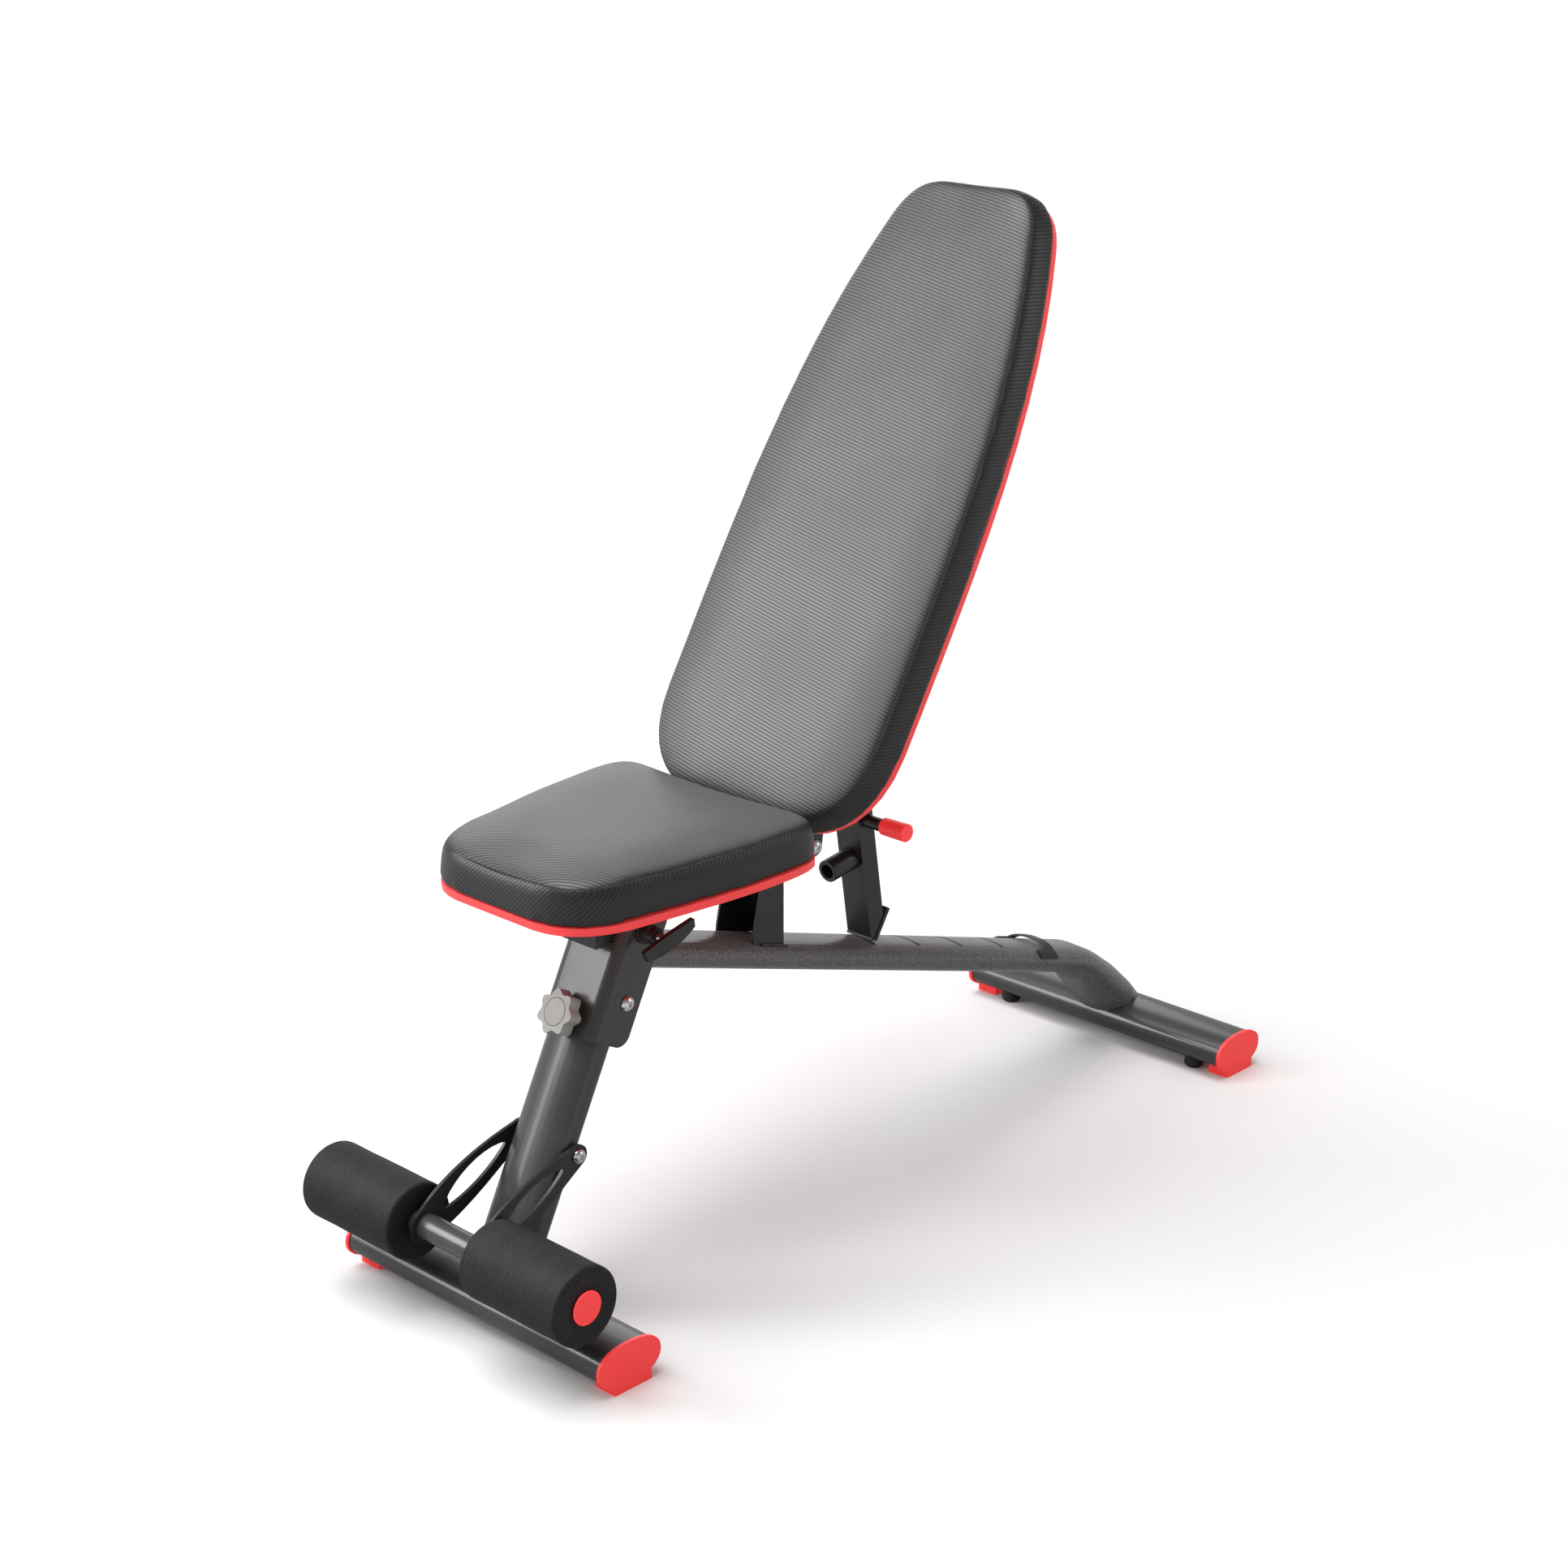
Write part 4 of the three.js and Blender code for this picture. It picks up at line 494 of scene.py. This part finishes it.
def inflate(piece, floor):
    """Cloth simulation: the cover swells under pressure, held along its lower edge."""
    start = np.array([v.co for v in piece.data.vertices])
    held = start[:, 2] < floor + HELD_EDGE
    group = piece.vertex_groups.new(name="held")
    group.add(np.flatnonzero(held).tolist(), 1.0, "REPLACE")
    cover_cloth(piece, group.name)
    for number in range(1, SWELL_FRAMES + 1):
        scene.frame_set(number)
    swollen = evaluated_mesh(piece)
    scene.frame_set(1)
    piece.modifiers.clear()
    piece.vertex_groups.clear()
    moves = np.array([v.co for v in swollen.vertices]) - start
    lengths = np.linalg.norm(moves, axis=1)[:, None]
    moves *= np.minimum(1.0, SWELL_LIMIT / np.maximum(lengths, 1e-9))
    moves = evened(moves, swollen, held)
    swollen.vertices.foreach_set("co", (start + moves).ravel())
    piece.data = swollen


def relaxed(piece, rounds, group=""):
    """Smooths the piece, or the vertices of one of its groups."""
    soft = piece.modifiers.new("relax", "SMOOTH")
    soft.factor = 0.5
    soft.iterations = rounds
    soft.vertex_group = group
    apply_modifiers(piece)


def remesh(piece):
    """Rebuilds the pad with even faces and smooths out the steps that this leaves."""
    even = piece.modifiers.new("even_mesh", "REMESH")
    even.mode = "VOXEL"
    even.voxel_size = VOXEL
    apply_modifiers(piece)
    relaxed(piece, REMESH_ROUNDS)


def round_shoulders(piece, floor):
    """Smooths everything above the stapled edge, so that the face rolls gently into the sides."""
    upper = [v.index for v in piece.data.vertices if v.co.z > floor + HELD_EDGE]
    group = piece.vertex_groups.new(name="upper")
    group.add(upper, 1.0, "REPLACE")
    relaxed(piece, SHOULDER_ROUNDS, group.name)
    piece.vertex_groups.clear()


def cushion(node, name, slope, material, inset):
    """Stuffed cushion in place of a CAD pad. The slope is the pad's own, in degrees."""
    mesh, matrix, floor = flat_copy(node, name, slope, inset)
    piece = new_piece(name, mesh, material)
    remesh(piece)
    round_shoulders(piece, floor)
    inflate(piece, floor)
    relaxed(piece, SETTLING_ROUNDS)
    finer = piece.modifiers.new("finer", "SUBSURF")
    finer.levels = 1
    finer.render_levels = 1
    apply_modifiers(piece)
    piece.data.materials.clear()
    piece.data.materials.append(material)
    for polygon in piece.data.polygons:
        polygon.use_smooth = True
    piece.matrix_world = matrix
    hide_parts(node)
    return piece


def seat_cover():
    twill = twill_vinyl("twill_of_seat", 30, 48)
    piece = cushion("seat_cushion", "seat_cushion_cover", 0.0, twill, -3 * MM)
    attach(piece, "seat")


def back_cover():
    twill = twill_vinyl("twill_of_back", -10, -62)
    piece = cushion("back_cushion", "back_cushion_cover", BACK_ANGLE, twill, -5.5 * MM)
    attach(piece, "backrest")


# ------------------------------------------------------------------ foam sleeves


FOAM_BORE = 14.4 * MM
FOAM_CHAMFER = 1.5 * MM
FOAM_SHOULDER = 4 * MM
FOAM_SIDES = 96


def foam_section(half, radius):
    """The sleeve's cut face as (x, radius) pairs, from the bore at one end to the bore at the other."""
    turns = [math.radians(90 * i / 8) for i in range(9)]
    start = [(-half + FOAM_CHAMFER, FOAM_BORE), (-half, FOAM_BORE + FOAM_CHAMFER)]
    for turn in turns:
        x = -half + FOAM_SHOULDER * (1 - math.cos(turn))
        start.append((x, radius - FOAM_SHOULDER * (1 - math.sin(turn))))
    straight = 2 * (half - FOAM_SHOULDER)
    skin = [(-half + FOAM_SHOULDER + straight * i / 12, radius) for i in range(1, 12)]
    end = [(-x, r) for x, r in reversed(start)]
    return start + skin + end


def foam_dent(x, angle):
    """Depth of the shallow dents in the sleeve's skin."""
    return abs(0.35 * MM * math.sin(3 * angle + 40 * x) * math.sin(70 * x + 1))


def foam_sleeve(node, name, body):
    """Foam tube turned from its section, with soft shoulders and a slightly uneven skin."""
    low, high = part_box(node)
    centre = (low + high) / 2
    radius = (high.z - low.z) / 2
    section = foam_section((high.x - low.x) / 2, radius)
    mesh = bpy.data.meshes.new(name)
    work = bmesh.new()
    rings = []
    for k in range(FOAM_SIDES):
        angle = 2 * math.pi * k / FOAM_SIDES
        ring = []
        for x, r in section:
            on_skin = r > radius - 0.1 * MM
            reach = r - foam_dent(x, angle) if on_skin else r
            spot = (centre.x + x, centre.y + reach * math.cos(angle), centre.z + reach * math.sin(angle))
            ring.append(work.verts.new(spot))
        rings.append(ring)
    for k, ring in enumerate(rings):
        following = rings[(k + 1) % FOAM_SIDES]
        for i in range(len(section)):
            j = (i + 1) % len(section)
            work.faces.new((ring[i], following[i], following[j], ring[j]))
    bmesh.ops.recalc_face_normals(work, faces=work.faces)
    work.to_mesh(mesh)
    work.free()
    for polygon in mesh.polygons:
        polygon.use_smooth = True
    piece = new_piece(name, mesh, FINISHES["foam"])
    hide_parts(node)
    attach(piece, body)


# ------------------------------------------------------------------ studio

CAMERA_AT = Vector((2.03655, -2.17805, 1.5))
CAMERA_LOOKS = Vector((-0.65468, 0.68109, -0.32789))
LENS_MM = 65.87  # on a 36 mm sensor
HORIZON_LIGHT = 0.6
ZENITH_LIGHT = 0.14
FLOOR_REACH = 14.0  # half of the floor's side
FADE_START = 1.3  # distance from the bench at which the floor begins to fade to white
FADE_END = 2.6


def camera():
    data = bpy.data.cameras.new("photo_camera")
    data.lens = LENS_MM
    data.sensor_width = 36
    eye = bpy.data.objects.new("photo_camera", data)
    eye.location = CAMERA_AT
    eye.rotation_euler = CAMERA_LOOKS.to_track_quat("-Z", "Y").to_euler()
    scene.collection.objects.link(eye)
    scene.camera = eye


def area_light(name, at, target, width, height, watts):
    data = bpy.data.lights.new(name, "AREA")
    data.shape = "RECTANGLE"
    data.size = width
    data.size_y = height
    data.energy = watts
    lamp = bpy.data.objects.new(name, data)
    lamp.location = at
    lamp.rotation_euler = (Vector(target) - Vector(at)).to_track_quat("-Z", "Y").to_euler()
    lamp.visible_camera = False
    scene.collection.objects.link(lamp)


def soft_sun(name, direction, strength, spread):
    data = bpy.data.lights.new(name, "SUN")
    data.energy = strength
    data.angle = math.radians(spread)
    lamp = bpy.data.objects.new(name, data)
    lamp.rotation_euler = Vector(direction).to_track_quat("-Z", "Y").to_euler()
    scene.collection.objects.link(lamp)


def lights():
    """A soft sun from above, one main light at the front left, and three weak ones at the sides."""
    soft_sun("overhead", (0.12, 0.27, -1), 2.95, 48)
    area_light("key_front_left", (-2.0, -2.0, 2.0), (0, 0, 0.55), 1.1, 1.6, 48)
    area_light("strip_front_left", (-1.95, -2.4, 1.25), (0, -0.35, 0.2), 0.3, 1.2, 9)
    area_light("card_rear_left", (-2.45, 2.15, 1.5), (0, -0.3, 0.3), 2.4, 1.6, 17)
    area_light("rim_rear_right", (2.4, 1.8, 2.0), (0, 0.1, 0.5), 1.2, 1.2, 10)


def studio_world():
    """White to the camera; to the object, brighter at the sides than above."""
    world = bpy.data.worlds.new("studio")
    world.use_nodes = True
    tree = world.node_tree
    tree.nodes.clear()
    out = tree.nodes.new("ShaderNodeOutputWorld")
    choose = tree.nodes.new("ShaderNodeMixShader")
    seen = tree.nodes.new("ShaderNodeBackground")
    seen.inputs["Strength"].default_value = 1.0
    seen.inputs["Color"].default_value = (1, 1, 1, 1)
    given = tree.nodes.new("ShaderNodeBackground")
    path = tree.nodes.new("ShaderNodeLightPath")
    coords = tree.nodes.new("ShaderNodeTexCoord")
    split = tree.nodes.new("ShaderNodeSeparateXYZ")
    ramp = tree.nodes.new("ShaderNodeMapRange")
    ramp.inputs["From Min"].default_value = 0.0
    ramp.inputs["From Max"].default_value = 0.9
    ramp.inputs["To Min"].default_value = HORIZON_LIGHT
    ramp.inputs["To Max"].default_value = ZENITH_LIGHT
    tree.links.new(coords.outputs["Generated"], split.inputs[0])
    tree.links.new(split.outputs["Z"], ramp.inputs["Value"])
    tree.links.new(ramp.outputs["Result"], given.inputs["Strength"])
    tree.links.new(path.outputs["Is Camera Ray"], choose.inputs[0])
    tree.links.new(given.outputs[0], choose.inputs[1])
    tree.links.new(seen.outputs[0], choose.inputs[2])
    tree.links.new(choose.outputs[0], out.inputs["Surface"])
    scene.world = world


def studio_floor():
    """White floor that fades into the white surround, and bounces little light up at the bench."""
    mesh = bpy.data.meshes.new("studio_floor")
    corners = [(x * FLOOR_REACH, y * FLOOR_REACH, 0) for x, y in ((-1, -1), (1, -1), (1, 1), (-1, 1))]
    mesh.from_pydata(corners, [], [(0, 1, 2, 3)])
    m = Nodes("studio_floor_white")
    tree = m.tree
    path = tree.nodes.new("ShaderNodeLightPath")
    m.set(Base_Color=m.mix(path.outputs["Is Camera Ray"], (0.4, 0.4, 0.4), (0.77, 0.77, 0.77)))
    m.set(Roughness=0.9, Specular_IOR_Level=0.0)
    glow = m.math("MULTIPLY", path.outputs["Is Camera Ray"], 0.03)
    m.set(Emission_Color=(1.0, 1.0, 1.0), Emission_Strength=glow)
    far = tree.nodes.new("ShaderNodeEmission")
    far.inputs["Strength"].default_value = 1.0
    length = tree.nodes.new("ShaderNodeVectorMath")
    length.operation = "LENGTH"
    m.link(m.point(), length.inputs[0])
    fade = tree.nodes.new("ShaderNodeMixShader")
    m.link(m.steps(length.outputs["Value"], FADE_START, FADE_END), fade.inputs[0])
    m.link(m.shader.outputs[0], fade.inputs[1])
    m.link(far.outputs[0], fade.inputs[2])
    m.link(fade.outputs[0], tree.nodes["Material Output"].inputs["Surface"])
    floor = new_piece("studio_floor", mesh, m.material)
    floor.location.z = -0.2 * MM


# ------------------------------------------------------------------ build

dress_cad_nodes()
seat_cover()
back_cover()
foam_sleeve("foam_roller_left", "foam_sleeve_left", "left_foam")
foam_sleeve("foam_roller_right", "foam_sleeve_right", "right_foam")
camera()
lights()
studio_world()
studio_floor()
scene.view_settings.view_transform = "Standard"
